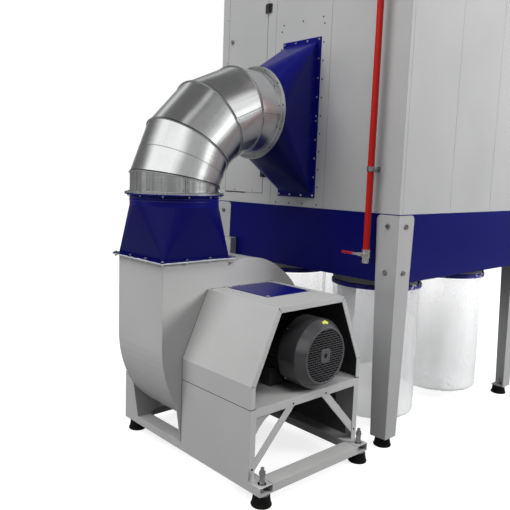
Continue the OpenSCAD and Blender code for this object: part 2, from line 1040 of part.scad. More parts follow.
// The door's own hinge leaves, each bored for its pin.
module door_leaves() {
    half = hinge_side / 2;
    middle = hinge_side - 2 * knuckle_h - 1;
    color([0.05, 0.05, 0.05])
        for (z = hinge_zs)
            difference() {
                union() {
                    block([hinge_x - half, hinge_y, z - half], [hinge_x - leaf_in, house_y0, z + half]);
                    translate([hinge_x, pin_y, z - middle / 2])
                        cylinder(r = knuckle_r, h = middle, $fn = 48);
                    translate([hinge_x - 12, hinge_y - 8, z - middle / 2])
                        cube([12, 12, middle]);
                }
                translate([hinge_x, pin_y, z - hinge_side])
                    cylinder(r = pin_r + 0.05, h = 2 * hinge_side, $fn = 48);
            }
}

// Two quarter turn locks, each a round seat and a small wing.
module door_locks() {
    lock_in = 277;
    lock_x = door_x0 + 35;
    seat_r = 9;
    seat_t = 5;
    wing = [7, 8, 24];
    color("gray")
        for (z = [door_top - lock_in, door_z + lock_in])
            translate([lock_x, house_y0, z]) {
                rod_y(seat_r, -seat_t, 0, 48);
                translate([-wing.x / 2, -seat_t - wing.y, -wing.z / 2])
                    cube(wing);
            }
}

// ---- extinguishing pipe ----

clamp_zs = [1473, panel_top - 500];
clamp_h = 24;
pipe_top = panel_top - 180;

module sprinkler_pipe() {
    color([0.6, 0.1, 0.06]) {
        translate([pipe_x, pipe_y, pipe_z])
            cylinder(r = pipe_r, h = pipe_top - pipe_z, $fn = 48);
        translate([pipe_x, 0, pipe_top])
            rod_y(pipe_r, pipe_y, house_y0, 48);
        translate([pipe_x, pipe_y, pipe_top])
            sphere(r = pipe_r, $fn = 48);
    }
}

module pipe_clamps() {
    color("gray")
        for (z = clamp_zs)
            translate([pipe_x, pipe_y, z - clamp_h / 2]) {
                ring(pipe_r + 4, pipe_r, clamp_h);
                translate([0, 0, clamp_h / 2])
                    rod_y(5, pipe_r + 3, pipe_off, 48);
                translate([-20, pipe_off - 3, 0])
                    cube([40, 3, clamp_h]);
            }
}

valve_r = 22;
valve_h = 44;
stem_y = pipe_y - valve_r - 14;
lever_l = 130;
lever_w = 20;
lever_t = 4;

module ball_valve() {
    color("silver") {
        translate([pipe_x, pipe_y, valve_z - valve_h / 2])
            cylinder(r = valve_r, h = valve_h, $fn = 48);
        translate([pipe_x, pipe_y, valve_z - 48])
            cylinder(r = pipe_r + 2, h = 28, $fn = 6);
        translate([pipe_x, 0, valve_z])
            rod_y(6, stem_y - 8, pipe_y, 48);
    }
}

// The lever turns on the valve's stem, and now lies across the pipe.
module valve_lever() {
    color([0.6, 0.1, 0.06])
        difference() {
            union() {
                block([pipe_x - lever_l, stem_y - lever_t, valve_z - lever_w / 2],
                    [pipe_x, stem_y, valve_z + lever_w / 2]);
                translate([pipe_x, 0, valve_z])
                    rod_y(14, stem_y - lever_t, stem_y, 48);
            }
            translate([pipe_x, 0, valve_z])
                rod_y(6.05, stem_y - 10, stem_y + 10, 48);
        }
}

module terminal_box() {
    x0 = house_x0 + 78;
    y1 = house_y0 - leg_t;
    box = [116, 45, 120];
    color("silver")
        block([x0, y1 - box.y, skirt_z], [x0 + box.x, y1, skirt_z + box.z]);
}

set_down() rail_near();
set_down() rail_far();
set_down() cross_rail_front();
set_down() cross_rail_rear();
set_down() fan_feet();
set_down() fan_foot_studs();
set_down() bay_side_near();
set_down() bay_side_far();
set_down() motor_deck();
set_down() diagonal_braces();
set_down() motor_hood();
set_down() cover_plate();
set_down() rear_posts();
set_down() scroll_wrapper();
set_down() scroll_plate_motor();
set_down() scroll_plate_inlet();
set_down() inlet_collar();
set_down() impeller();
set_down() motor_body();
set_down() motor_cowl();
set_down() motor_terminal_box();
set_down() outlet_flange();
set_down() reducer();
set_down() reducer_collar();
set_down() elbow_gore_1();
set_down() elbow_gore_2();
set_down() elbow_gore_3();
set_down() elbow_gore_4();
set_down() elbow_gore_5();
set_down() transition();
set_down() door_frame();
set_down() front_panel_mid();
set_down() front_panel_right();
set_down() end_panels_right();
set_down() end_panels_left();
set_down() rear_panels();
set_down() corner_posts();
set_down() roof();
set_down() skirt_front();
set_down() skirt_rear();
set_down() skirt_right();
set_down() skirt_left();
set_down() hopper_floor();
set_down() bag_collars();
set_down() bags_front();
set_down() bags_rear();
set_down() housing_legs();
set_down() housing_feet();
set_down() housing_foot_studs();
set_down() access_door();
set_down() door_hinges();
set_down() door_leaves();
set_down() door_locks();
set_down() sprinkler_pipe();
set_down() pipe_clamps();
set_down() ball_valve();
set_down() valve_lever();
set_down() terminal_box();
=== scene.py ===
import json
from itertools import product
from math import asin, cos, degrees, pi, radians, sin, sqrt, tan

import bmesh
import bpy
from mathutils import Matrix, Vector
from mathutils.noise import noise


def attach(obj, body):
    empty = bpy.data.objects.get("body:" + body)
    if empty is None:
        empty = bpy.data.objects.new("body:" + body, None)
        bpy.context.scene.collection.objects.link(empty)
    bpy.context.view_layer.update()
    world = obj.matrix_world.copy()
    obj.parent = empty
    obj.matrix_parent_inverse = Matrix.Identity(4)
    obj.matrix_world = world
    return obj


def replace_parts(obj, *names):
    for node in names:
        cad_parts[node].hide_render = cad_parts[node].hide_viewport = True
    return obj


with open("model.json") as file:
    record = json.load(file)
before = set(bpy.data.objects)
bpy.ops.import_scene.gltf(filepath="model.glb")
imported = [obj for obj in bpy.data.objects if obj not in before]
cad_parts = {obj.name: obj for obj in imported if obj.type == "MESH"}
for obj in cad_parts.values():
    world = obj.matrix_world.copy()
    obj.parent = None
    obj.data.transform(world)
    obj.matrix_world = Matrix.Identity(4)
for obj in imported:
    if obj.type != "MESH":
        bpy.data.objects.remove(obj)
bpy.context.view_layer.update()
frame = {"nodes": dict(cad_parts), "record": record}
ROOT = "root"
X, Y, Z = Vector((1, 0, 0)), Vector((0, 1, 0)), Vector((0, 0, 1))


def vec(x, y=0.0, z=0.0):
    return Vector((x, y, z))


def mm(*points):
    """Points of a profile, a section or an outline, given in millimetres."""
    return [(a / 1000, b / 1000) for a, b in points]


def sind(angle):
    return sin(radians(angle))


def cosd(angle):
    return cos(radians(angle))


def around(steps):
    """The angles that divide a full turn."""
    return [2 * pi * i / steps for i in range(steps)]


def sides(points):
    """Each point with the next one, back to the first."""
    return zip(points, points[1:] + points[:1])


# ---- places that the pieces share, in metres from the near front corner of the fan base ----

ORIGIN = vec(0.028, -0.038)  # that corner, seen from the part's own origin
SCROLL_X = (-0.975, -0.575)
NECK_Y = (-0.12, 0.28)
SHAFT = vec(0.0, 0.43, 0.598)
BAY_X = -0.075
DECK_Z = 0.42
RAIL_TOP = 0.0955
BASE_W = 0.75
HOOD_TOP = 0.855
HOOD = mm((0, 420), (0, 525), (150, 855), (600, 855), (750, 525), (750, 420))
COWL_FRONT = -0.032
DUCT_R = 0.225
FLANGE_T = 0.006
BEND_R = 0.469
BEND = vec(-0.775, 0.549, 1.293)
COLLAR = vec(BEND.x, 0.08, 1.322)
ELBOW_END = vec(BEND.x, 0.6, BEND.z + BEND_R)
TAIL = 0.051
TRANS = vec(-0.731, 0.0, 1.75)
HOUSE_X = (-1.44, -0.015)
HOUSE_Y = (0.925, 2.35)
DOOR_X = (-1.374, -1.022)
DOOR_Z = (1.315, 2.543)
HINGE_X = -1.012
ROOF_EDGE_Z = 2.955
BAG_X = (-1.084, -0.371)
BAG_Y = (1.265, 2.01)
BAG_R = 0.25
BAND_Z = 0.86
PIPE = vec(-0.165, 0.87, 1.057)
VALVE = vec(PIPE.x, PIPE.y, 1.035)


# ---- mesh tools ----

def aimed(at, axis, spin=0.0):
    """Puts local +Z along axis at a point."""
    z = Vector(axis).normalized()
    x = Y if abs(z.x) > 0.9 else X
    x = (x - z * x.dot(z)).normalized()
    turn = Matrix((x, z.cross(x), z)).transposed().to_4x4()
    return Matrix.Translation(at) @ turn @ Matrix.Rotation(spin, 4, "Z")


def skin(bm, rings, closed=False):
    """Joins rings of corners with faces; a ring of one corner is a tip."""
    steps = max(len(ring) for ring in rings)
    for a, b in sides(rings) if closed else zip(rings, rings[1:]):
        for i in range(steps):
            j = (i + 1) % steps
            corners = [a[i % len(a)], a[j % len(a)], b[j % len(b)], b[i % len(b)]]
            bm.faces.new(list(dict.fromkeys(corners)))


def capped(bm, rings):
    skin(bm, rings)
    bm.faces.new(rings[0])
    bm.faces.new(rings[-1][::-1])


def turned(bm, profile, at, axis, steps=24, closed=False, spin=0.0):
    """Turns a profile of (radius, height) round an axis through a point."""
    place = aimed(at, axis, spin)
    rings = []
    for r, z in profile:
        angles = around(steps) if r > 1e-6 else [0.0]
        rings.append([bm.verts.new(place @ vec(r * cos(a), r * sin(a), z)) for a in angles])
    skin(bm, rings, closed)


def swept(bm, path, section, outward, closed=False):
    """Sweeps a section of (out, across) points along a path."""
    rings = []
    last = len(path) - 1
    for i, p in enumerate(path):
        before = path[i - 1] if closed or i else p
        after = path[(i + 1) % len(path)] if closed or i < last else p
        along = (after - before).normalized()
        out = (outward[i] - along * outward[i].dot(along)).normalized()
        across = along.cross(out)
        rings.append([bm.verts.new(p + out * a + across * b) for a, b in section])
    if closed:
        skin(bm, rings, True)
    else:
        capped(bm, rings)


def strip(bm, a, b, out, half, high=0.0003, deep=-0.002):
    """A thin straight strip from a to b, with half of its width on each side."""
    swept(bm, [a, b], [(high, -half), (high, half), (deep, half), (deep, -half)], [out] * 2)


def slab(bm, lo, hi, rounding=0.001, place=Matrix()):
    """A block with rounded edges."""
    lo, hi = Vector(lo), Vector(hi)
    size = hi - lo
    made = bmesh.ops.create_cube(bm, size=1.0)["verts"]
    shape = place @ Matrix.Translation((lo + hi) / 2) @ Matrix.Diagonal((*size, 1.0))
    bmesh.ops.transform(bm, matrix=shape, verts=made)
    edges = {e for v in made for e in v.link_edges}
    offset = min(rounding, 0.45 * min(size))
    bmesh.ops.bevel(bm, geom=list(edges), offset=offset, segments=2, affect="EDGES", profile=0.5)


def plate(bm, outline, thickness, place=Matrix()):
    """A flat plate with a given outline, its back on the local XY plane."""
    low, high = ([bm.verts.new(place @ vec(x, y, z)) for x, y in outline] for z in (0.0, thickness))
    bm.faces.new(low[::-1])
    bm.faces.new(high)
    skin(bm, [low, high])


def rounded_outline(w, h, r, steps=6):
    """A rectangle with round corners, about the origin."""
    points = []
    for cx, cy, start in ((1, 1, 0), (-1, 1, 90), (-1, -1, 180), (1, -1, 270)):
        for i in range(steps + 1):
            a = start + 90 * i / steps
            points.append((cx * (w / 2 - r) + r * cosd(a), cy * (h / 2 - r) + r * sind(a)))
    return points


def added(name, data):
    """A new object in the scene."""
    made = bpy.data.objects.new(name, data)
    bpy.context.collection.objects.link(made)
    return made


def piece(name, bm, finish, body=ROOT, angle=35.0):
    """Makes the object for a finished mesh, with its material and body, and empties bm."""
    bmesh.ops.recalc_face_normals(bm, faces=bm.faces)
    mesh = bpy.data.meshes.new(name)
    bmesh.ops.translate(bm, verts=bm.verts, vec=ORIGIN)
    bm.to_mesh(mesh)
    bm.clear()
    mesh.materials.append(finish)
    mesh.shade_smooth()
    mesh.set_sharp_from_angle(angle=radians(angle))
    made = added(name, mesh)
    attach(made, body)
    return made


# ---- fasteners and small parts; size is the thread ----

def washer(bm, at, axis, size):
    r, t = size * 1.02, size * 0.16
    profile = [(size * 0.5, 0), (r - t * 0.4, 0), (r, t * 0.4), (r, t), (size * 0.5, t)]
    turned(bm, profile, at, axis, 20, True)


def hex_head(bm, at, axis, size, spin=0.0, with_washer=True):
    base = size * 0.16 if with_washer else 0.0
    if with_washer:
        washer(bm, at, axis, size)
    r, h = size * 0.94, size * 0.62
    shape = ((0, 0), (1, 0), (1, 0.82), (0.88, 1), (0.5, 1), (0.45, 0.94), (0, 0.94))
    turned(bm, [(r * a, h * b + base) for a, b in shape], at, axis, 6, spin=spin)


def nut_and_thread(bm, at, axis, size, stick=0.6):
    washer(bm, at, axis, size)
    base, r, h = size * 0.16, size * 0.94, size * 0.8
    profile = [(0, 0), (r * 0.9, 0), (r, 0.1 * h), (r, 0.9 * h), (r * 0.9, h), (0, h)]
    turned(bm, [(a, b + base) for a, b in profile], at, axis, 6, spin=0.4)
    threads(bm, Vector(at) + Vector(axis).normalized() * (base + h), axis, size * 0.5, size * stick)


def threads(bm, at, axis, r, length):
    """The ridges of a stud's thread, with a chamfered end."""
    pitch = max(0.0012, r * 0.25)
    count = max(2, int(length / pitch))
    profile = [(0, 0)]
    for i in range(count):
        z = i * pitch
        profile += [(r * 0.9, z), (r, z + pitch / 2)]
    top = count * pitch + pitch / 2
    profile += [(r * 0.9, count * pitch), (r * 0.7, top), (0, top)]
    turned(bm, profile, at, axis, 16)


def domed(bm, at, axis, r, h, shape):
    """A round head of radius r and height h, from a shape of (share of r, share of h) points."""
    turned(bm, [(r * a, h * b) for a, b in shape], at, axis, 18)


def pan_screw(bm, at, axis, r, h):
    domed(bm, at, axis, r, h, ((0, 0), (1, 0), (1, 0.35), (0.86, 0.78), (0.55, 1), (0.48, 0.55), (0, 0.5)))


def rivet(bm, at, axis, r, h):
    shape = ((0, 0), (1, 0), (0.97, 0.3), (0.78, 0.72), (0.4, 0.96), (0.3, 1), (0.26, 0.7), (0, 0.68))
    domed(bm, at, axis, r, h, shape)


def weld(bm, a, b, out, r=0.0025, seed=0):
    """A weld bead with its ripples, from a to b."""
    a, b, out = Vector(a), Vector(b), Vector(out).normalized()
    steps = max(3, int((b - a).length / 0.005))
    across = (b - a).normalized().cross(out)
    rings = []
    for i in range(steps + 1):
        p = a.lerp(b, i / steps)
        size = r * (0.82 + 0.18 * (i % 2) + 0.12 * noise(p * 90 + vec(seed)))
        rings.append([bm.verts.new(p + out * size * cos(t) + across * size * sin(t)) for t in around(7)])
    capped(bm, rings)


# ---- materials ----

class Nodes:
    """Adds nodes to a shader tree. A value is a number, a tuple or another node's socket."""

    def __init__(self, tree):
        self.tree = tree

    def feed(self, socket, value):
        if isinstance(value, bpy.types.NodeSocket):
            self.tree.links.new(value, socket)
        else:
            socket.default_value = value

    def node(self, kind, *values, **settings):
        """A node whose first inputs get the values, and whose settings or other inputs go by name."""
        made = self.tree.nodes.new("ShaderNode" + kind)
        for key, value in settings.items():
            if hasattr(made, key):
                setattr(made, key, value)
            else:
                self.feed(made.inputs[key], value)
        for socket, value in zip(made.inputs, values):
            self.feed(socket, value)
        return made

    def math(self, kind, a, b):
        return self.node("Math", a, b, operation=kind).outputs[0]

    def times(self, a, b):
        return self.math("MULTIPLY", a, b)

    def plus(self, a, b):
        return self.math("ADD", a, b)

    def vector(self, kind, *values):
        outputs = self.node("VectorMath", *values, operation=kind).outputs
        return outputs["Value" if kind in ("DOT_PRODUCT", "LENGTH") else "Vector"]

    def height(self, place):
        return self.node("SeparateXYZ", place).outputs["Z"]

    def ramp(self, value, low, high, to_low=0.0, to_high=1.0, curve="LINEAR"):
        made = self.node("MapRange", value, low, high, to_low, to_high, interpolation_type=curve)
        return made.outputs["Result"]


class Finish(Nodes):
    """A Principled material whose look comes from procedural nodes in the part's own space."""

    def __init__(self, name, colour, rough, metallic=0.0, spec=0.5):
        self.material = bpy.data.materials.new(name)
        self.material.use_nodes = True
        super().__init__(self.material.node_tree)
        self.inputs = self.tree.nodes["Principled BSDF"].inputs
        fixed = {"Metallic": metallic, "Specular IOR Level": spec, "Roughness": rough,
                 "Base Color": (*colour, 1.0)}
        for key, value in fixed.items():
            self.inputs[key].default_value = value
        self.place = self.node("TexCoord").outputs["Object"]

    def noise(self, scale, detail=3.0, rough=0.55, vector=None):
        made = self.node("TexNoise", Scale=scale, Detail=detail, Roughness=rough, Vector=vector or self.place)
        return made.outputs["Fac"]

    def cells(self, scale):
        return self.node("TexVoronoi", feature="F1", Scale=scale, Vector=self.place).outputs

    def stretched(self, scale, vector=None):
        return self.node("Mapping", Scale=scale, Vector=vector or self.place).outputs["Vector"]

    def blend(self, factor, a, b):
        made = self.node("Mix", data_type="RGBA")
        for index, value in ((0, factor), (6, a), (7, b)):
            self.feed(made.inputs[index], (*value, 1.0) if isinstance(value, tuple) else value)
        return made.outputs[2]

    def edges(self, radius):
        """The normal with rounded edges, and 1 on a convex or concave edge, 0 on a flat face."""
        normal = self.node("Bevel", samples=4, Radius=radius).outputs["Normal"]
        flat = self.node("NewGeometry").outputs["Normal"]
        return normal, self.ramp(self.vector("DOT_PRODUCT", normal, flat), 0.995, 0.9)

    def bump(self, height, strength, distance, normal=None):
        made = self.node("Bump", Strength=strength, Distance=distance, Height=height)
        if normal is not None:
            self.feed(made.inputs["Normal"], normal)
        self.feed(self.inputs["Normal"], made.outputs["Normal"])

    def done(self, colour, rough=None):
        self.feed(self.inputs["Base Color"], colour)
        if rough is not None:
            self.feed(self.inputs["Roughness"], rough)
        return self.material


def scaled(colour, k):
    return tuple(min(1.0, c * k) for c in colour)


def powder_coat(name, colour, rough, peel=0.25, edge=1.25, dirt=0.9, smudges=0.35, spec=0.5):
    """Powder coat: orange peel, faint cloudiness, a little dust, and edges made lighter in patches, partly
    rubbed wear and partly a painted highlight.
    """
    f = Finish(name, colour, rough, spec=spec)
    base = f.blend(f.ramp(f.noise(2.3, 2.0), 0.3, 0.7), scaled(colour, 0.955), scaled(colour, 1.035))
    smudge = f.ramp(f.noise(9.0, 6.0, 0.7), 0.56, 0.8)
    base = f.blend(f.times(smudge, smudges), base, scaled(colour, dirt))
    normal, worn = f.edges(0.0016)
    # Lighter edges: partly rubbed wear, partly a painted edge highlight; edge sets how much lighter.
    worn_and_highlit_edges = f.times(worn, f.ramp(f.noise(60.0, 4.0), 0.35, 0.65, 0.45, 1.0))
    base = f.blend(worn_and_highlit_edges, base, scaled(colour, edge))
    f.bump(f.noise(420.0, 2.0), peel, 0.0004, normal)
    spread = 0.01 + 0.1 * smudges
    shine = f.ramp(f.noise(14.0, 5.0, 0.65), 0.3, 0.7, rough - spread, rough + spread)
    return f.done(base, f.plus(shine, f.times(smudge, 0.2 * smudges)))


def galvanised(name, colour, rough, centre=(0, 0, 0), tilt=0.0, streaks=0.3):
    """Galvanised sheet: spangle, soft dents, darker patches at random, and dark streaks along the tube,
    partly rolling marks and partly painted reflection.
    """
    f = Finish(name, colour, rough, metallic=1.0)
    local = f.node("Mapping", vector_type="TEXTURE", Location=centre, Rotation=(tilt, 0, 0), Vector=f.place)
    local = local.outputs["Vector"]
    grain = f.node("SeparateColor", f.cells(95.0)["Color"]).outputs["Red"]
    streak = f.noise(1.0, 4.0, 0.6, f.stretched((42.0, 42.0, 1.6), local))
    broad = f.noise(1.0, 2.0, 0.5, f.stretched((7.0, 7.0, 1.1), local))
    hoop = f.noise(1.0, 3.0, 0.6, f.stretched((1.2, 1.2, 24.0), local))
    base = f.blend(f.ramp(grain, 0.0, 1.0), scaled(colour, 0.975), scaled(colour, 1.025))
    base = f.blend(f.ramp(broad, 0.35, 0.68, 0.0, 0.35), base, scaled(colour, 0.72))
    # The streaks darken the colour along the tube: partly rolling marks, partly a painted reflection.
    shift = 0.1 * streaks
    dark = scaled(colour, 0.88 - 0.35 * streaks)
    base = f.blend(f.ramp(streak, 0.55 - shift, 0.75 - shift, 0.0, streaks), base, dark)
    shine = f.ramp(grain, 0.0, 1.0, rough - 0.012, rough + 0.012)
    shine = f.plus(shine, f.ramp(streak, 0.3, 0.7, -0.02, 0.03))
    f.bump(f.plus(f.noise(4.2, 1.5, 0.45), f.times(hoop, 0.1)), 0.55, 0.01)
    return f.done(base, shine)


def zinc_plated(name, colour, rough):
    """Zinc plated steel of bolts and studs."""
    f = Finish(name, colour, rough, metallic=1.0)
    spots = f.noise(130.0, 4.0, 0.6)
    base = f.blend(f.ramp(spots, 0.35, 0.7), scaled(colour, 0.72), scaled(colour, 1.12))
    f.bump(f.noise(900.0, 2.0), 0.2, 0.0002, f.edges(0.0005)[0])
    return f.done(base, f.ramp(spots, 0.3, 0.7, rough - 0.08, rough + 0.12))


def rubber(name, colour):
    """Matt rubber, a little dusty and rubbed pale at its edges."""
    f = Finish(name, colour, 0.72, spec=0.12)
    dust = f.ramp(f.noise(28.0, 6.0, 0.7), 0.48, 0.75)
    base = f.blend(f.times(dust, 0.3), colour, (0.022, 0.021, 0.02))
    normal, worn = f.edges(0.0012)
    base = f.blend(f.times(worn, 0.5), base, (0.07, 0.07, 0.07))
    f.bump(f.noise(700.0, 3.0), 0.35, 0.0004, normal)
    return f.done(base, f.ramp(dust, 0.0, 1.0, 0.55, 0.85))


def moulded(name, colour, rough, spec=0.5):
    """Moulded plastic or vinyl with a fine grain."""
    f = Finish(name, colour, rough, spec=spec)
    base = f.blend(f.ramp(f.noise(35.0, 4.0), 0.35, 0.7), scaled(colour, 0.88), scaled(colour, 1.12))
    normal, worn = f.edges(0.0006)
    base = f.blend(f.times(worn, 0.4), base, scaled(colour, 1.5))
    f.bump(f.noise(1500.0, 2.0), 0.3, 0.0002, normal)
    return f.done(base, f.ramp(f.noise(60.0, 3.0), 0.3, 0.7, rough - 0.06, rough + 0.08))


def foam(name, colour):
    """Open-celled foam texture, for the hood's sound lining and for the painted shade under the deck."""
    f = Finish(name, colour, 0.95)
    pore = f.cells(900.0)["Distance"]
    f.bump(pore, 0.7, 0.001)
    return f.done(f.blend(f.ramp(pore, 0.1, 0.6), scaled(colour, 0.5), scaled(colour, 1.3)))


def clear_film(name):
    """Plastic film, milky down the bag and clear where it is stretched over the rim, but for pale patches on
    the rim's lit side, which are painted glints; the film grows clearer towards the top so the bag's top is
    painted lighter.
    """
    pale = (0.92, 0.925, 0.93)
    f = Finish(name, pale, 0.13, spec=0.8)
    haze = f.noise(1.0, 2.0, 0.5, f.stretched((7.0, 7.0, 1.6)))
    dust = f.ramp(f.noise(5.0, 5.0, 0.6), 0.45, 0.8)
    base = f.blend(f.times(dust, 0.4), pale, (0.86, 0.855, 0.845))
    z = f.height(f.place)
    milky = f.ramp(z, 0.812, 0.802)
    # Pale opaque patches over the rim, only on its lit side: painted glints.
    glints = f.times(f.ramp(f.noise(70.0, 3.0), 0.52, 0.62), f.ramp(f.noise(3.2, 1.0), 0.48, 0.6))
    lit_side = f.ramp(f.vector("DOT_PRODUCT", f.place, (0.68, 0.73, 0.0)), 0.66, 0.74)
    clear = f.ramp(f.times(glints, lit_side), 0.0, 1.0, 0.02, 0.8)
    # The film grows clearer up the bag, which paints its upper part lighter.
    full = f.plus(f.ramp(haze, 0.3, 0.7, 0.46, 0.58), f.ramp(z, 0.25, 0.76, 0.0, -0.3))
    f.feed(f.inputs["Alpha"], f.plus(f.times(milky, full), f.times(f.math("SUBTRACT", 1.0, milky), clear)))
    f.bump(haze, 0.2, 0.003)
    return f.done(base, f.ramp(haze, 0.3, 0.7, 0.1, 0.17))


LIGHT = (0.362, 0.363, 0.362)
BLUE = (0.003, 0.0038, 0.092)
# One sheet colour per elbow piece, lighter or darker to paint the highlights and shade on each.
PAINTED_GORE_TONES = [(k, k + 0.005, k + 0.01) for k in (0.95, 0.96, 0.77, 0.76, 0.74)]


# Copies of one blue paint: strength makes a copy lighter or darker to paint the light and shade on its part,
# and edge paints a lighter highlight on its edges.
def blue(name, strength, rough=0.3, edge=1.8, spec=0.14):
    return powder_coat(name, scaled(BLUE, strength), rough, 0.06, edge, 1.0, 0.0, spec)


grey_paint = powder_coat("grey_paint", (0.4, 0.4, 0.396), 0.42, spec=0.4)
panel_paint = powder_coat("panel_paint", LIGHT, 0.36, spec=0.45)
# The legs are painted 8 % darker than the panels, a painted shade.
leg_paint_painted_darker = powder_coat("leg_paint_painted_darker", scaled(LIGHT, 0.92), 0.4, spec=0.4)
blue_paint = blue("blue_paint", 1.0)
# Painted light and shade: lighter for the transition, collar, cover and beads, darker for the reducer, much
# lighter for the bag rims.
blue_painted_lighter = blue("blue_painted_lighter", 1.25)
blue_painted_darker = blue("blue_painted_darker", 0.76)
blue_rim_painted_lit = blue("blue_rim_painted_lit", 2.2, edge=1.4, spec=0.2)
blue_gloss_painted_lighter = blue("blue_gloss_painted_lighter", 1.3, rough=0.16, spec=0.5)
# The motor paint's edges are four times lighter: a painted highlight on the cowl's rims.
motor_paint = powder_coat("motor_paint", (0.048, 0.048, 0.051), 0.24, 0.3, 4.0, 1.0, 0.0, 0.9)
# The grille's paint is a slightly darker copy of the motor paint, a painted shade.
grille_paint_painted_darker = powder_coat("grille_paint_painted_darker", (0.044, 0.044, 0.046), 0.36, peel=0.3, edge=1.6, spec=0.35)
wheel_paint = powder_coat("wheel_paint", (0.05, 0.05, 0.055), 0.45, peel=0.4, edge=1.6)
red_paint = powder_coat("red_paint", (0.36, 0.007, 0.004), 0.3, 0.15, 1.05, 0.85, 0.15, 0.3)
zinc = zinc_plated("zinc_steel", (0.46, 0.46, 0.46), 0.25)
bright_zinc = zinc_plated("bright_zinc", (0.8, 0.8, 0.8), 0.26)
black_zinc = zinc_plated("black_bolts", (0.06, 0.06, 0.065), 0.38)
nickel = zinc_plated("valve_nickel", (0.74, 0.725, 0.69), 0.18)
black_rubber = rubber("rubber_black", (0.004, 0.004, 0.004))
black_plastic = moulded("black_plastic", (0.018, 0.018, 0.019), 0.42)
red_grip = moulded("red_grip", (0.34, 0.01, 0.018), 0.3)
yellow_vinyl = moulded("yellow_vinyl", (0.62, 0.6, 0.09), 0.36)
box_grey = moulded("box_grey", (0.36, 0.36, 0.355), 0.5)
gasket_grey = moulded("gasket_grey", (0.26, 0.26, 0.26), 0.6)
band_grey = moulded("band_grey", (0.23, 0.225, 0.205), 0.6)
white_seal = moulded("white_sealant", (0.62, 0.63, 0.66), 0.45)
# A near-black finish for black parts and for the painted shade in joints and gaps.
black_and_gap_shade = moulded("black_and_gap_shade", (0.006, 0.006, 0.006), 0.6, spec=0.15)
black_foam_and_shade = foam("black_foam_and_shade", (0.018, 0.018, 0.019))
grey_painted_shade = foam("grey_painted_shade", (0.06, 0.06, 0.062))
film = clear_film("clear_film")

SLOTS = {  # for each slot of the record: its own finish, then the others that go under it
    "grey_paint": (grey_paint, white_seal),
    "panel_paint": (panel_paint, leg_paint_painted_darker),
    "blue_paint": (blue_paint, blue_gloss_painted_lighter),
    "motor_paint": (motor_paint, grille_paint_painted_darker, yellow_vinyl),
    "wheel_paint": (wheel_paint,),
    "red_paint": (red_paint, red_grip),
    "zinc_steel": (zinc, bright_zinc, box_grey),
    "valve_brass": (nickel,),
    "rubber_black": (black_rubber, gasket_grey),
    "black_plastic": (black_plastic, black_zinc, black_and_gap_shade, black_foam_and_shade, grey_painted_shade, band_grey),
    "clear_film": (film,),
}
own_finish = {
    "housing_legs": leg_paint_painted_darker, "transition": blue_painted_lighter, "reducer_collar": blue_painted_lighter, "cover_plate": blue_painted_lighter,
    "reducer": blue_painted_darker, "bag_collars": blue_rim_painted_lit,
}
# Each elbow piece gets its own painted tone, and the first piece much deeper dark streaks, a painted
# reflection.
for k, sheet in enumerate(PAINTED_GORE_TONES):
    own_finish["elbow_gore_%d" % (k + 1)] = galvanised(
        "galvanised_%d" % (k + 1), sheet, 0.21, BEND + ORIGIN, radians(-22.5 * k), 0.3 if k else 0.95)
slot_of = {part["node"]: part["material_slot"] for part in frame["record"]["subparts"]}
for name, node in frame["nodes"].items():
    node.data.materials.clear()
    node.data.materials.append(own_finish.get(name) or SLOTS[slot_of[name]][0])


# ---- camera ----

YAW, PITCH, ROLL = 49.11, -7.52, 1.69
forward = vec(-sind(YAW) * cosd(PITCH), cosd(YAW) * cosd(PITCH), sind(PITCH))
level = vec(cosd(YAW), sind(YAW))
upward = level.cross(forward)
right = cosd(ROLL) * level + sind(ROLL) * upward
top = cosd(ROLL) * upward - sind(ROLL) * level
lens = bpy.data.cameras.new("camera")
lens.lens = 42.64
lens.sensor_width = 36.0
lens.shift_x = 0.0487
lens.shift_y = -0.0046
camera = added("camera", lens)
turn = Matrix((right, top, -forward)).transposed().to_4x4()
camera.matrix_world = Matrix.Translation(vec(1.7325, -1.7081, 1.4325) + ORIGIN) @ turn
bpy.context.scene.camera = camera


# ---- fan base ----

bm = bmesh.new()  # the mesh being built, which piece() empties


def feet(name, node, places, seat):
    """Rubber feet with a bonded steel plate on top."""
    foot = mm((0, 0), (40, 0), (45.5, 1.5), (47, 4.5), (46.8, 9), (44.8, 12.5), (43, 15), (41.5, 25),
              (40, 33), (39, 40), (38.2, 42.5), (39, 44), (38.8, 49), (37.2, 51), (0, 51))
    cap = mm((0, 50.8), (33.5, 50.8), (35, 51.8), (35, 54), (33.8, 54.9), (0, 54.9))
    plates = bmesh.new()
    for x, y in places:
        turned(bm, foot, (x, y, 0), Z, 48)
        turned(plates, cap, (x, y, 0), Z, 40)
        washer(plates, (x, y, seat), Z, 0.019)
    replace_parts(piece(name, bm, black_rubber), node)
    piece(name + "_plates", plates, zinc)


FAN_FEET = list(product((-1.035, -0.028), (0.038, 0.712)))
feet("fan_rubber_feet", "fan_feet", FAN_FEET, 0.095)

for x, y in FAN_FEET:
    threads(bm, (x, y, 0.155), Z, 0.0083, 0.016)
    turned(bm, mm((8.5, 141), (15, 141), (15, 143.5), (8.5, 143.5)), (x, y, 0), Z, 24, True)
    hex_head(bm, (x, y + (0.013 if y < 0.3 else -0.013), 0.058), Z, 0.01, with_washer=False)
piece("fan_stud_threads", bm, zinc)

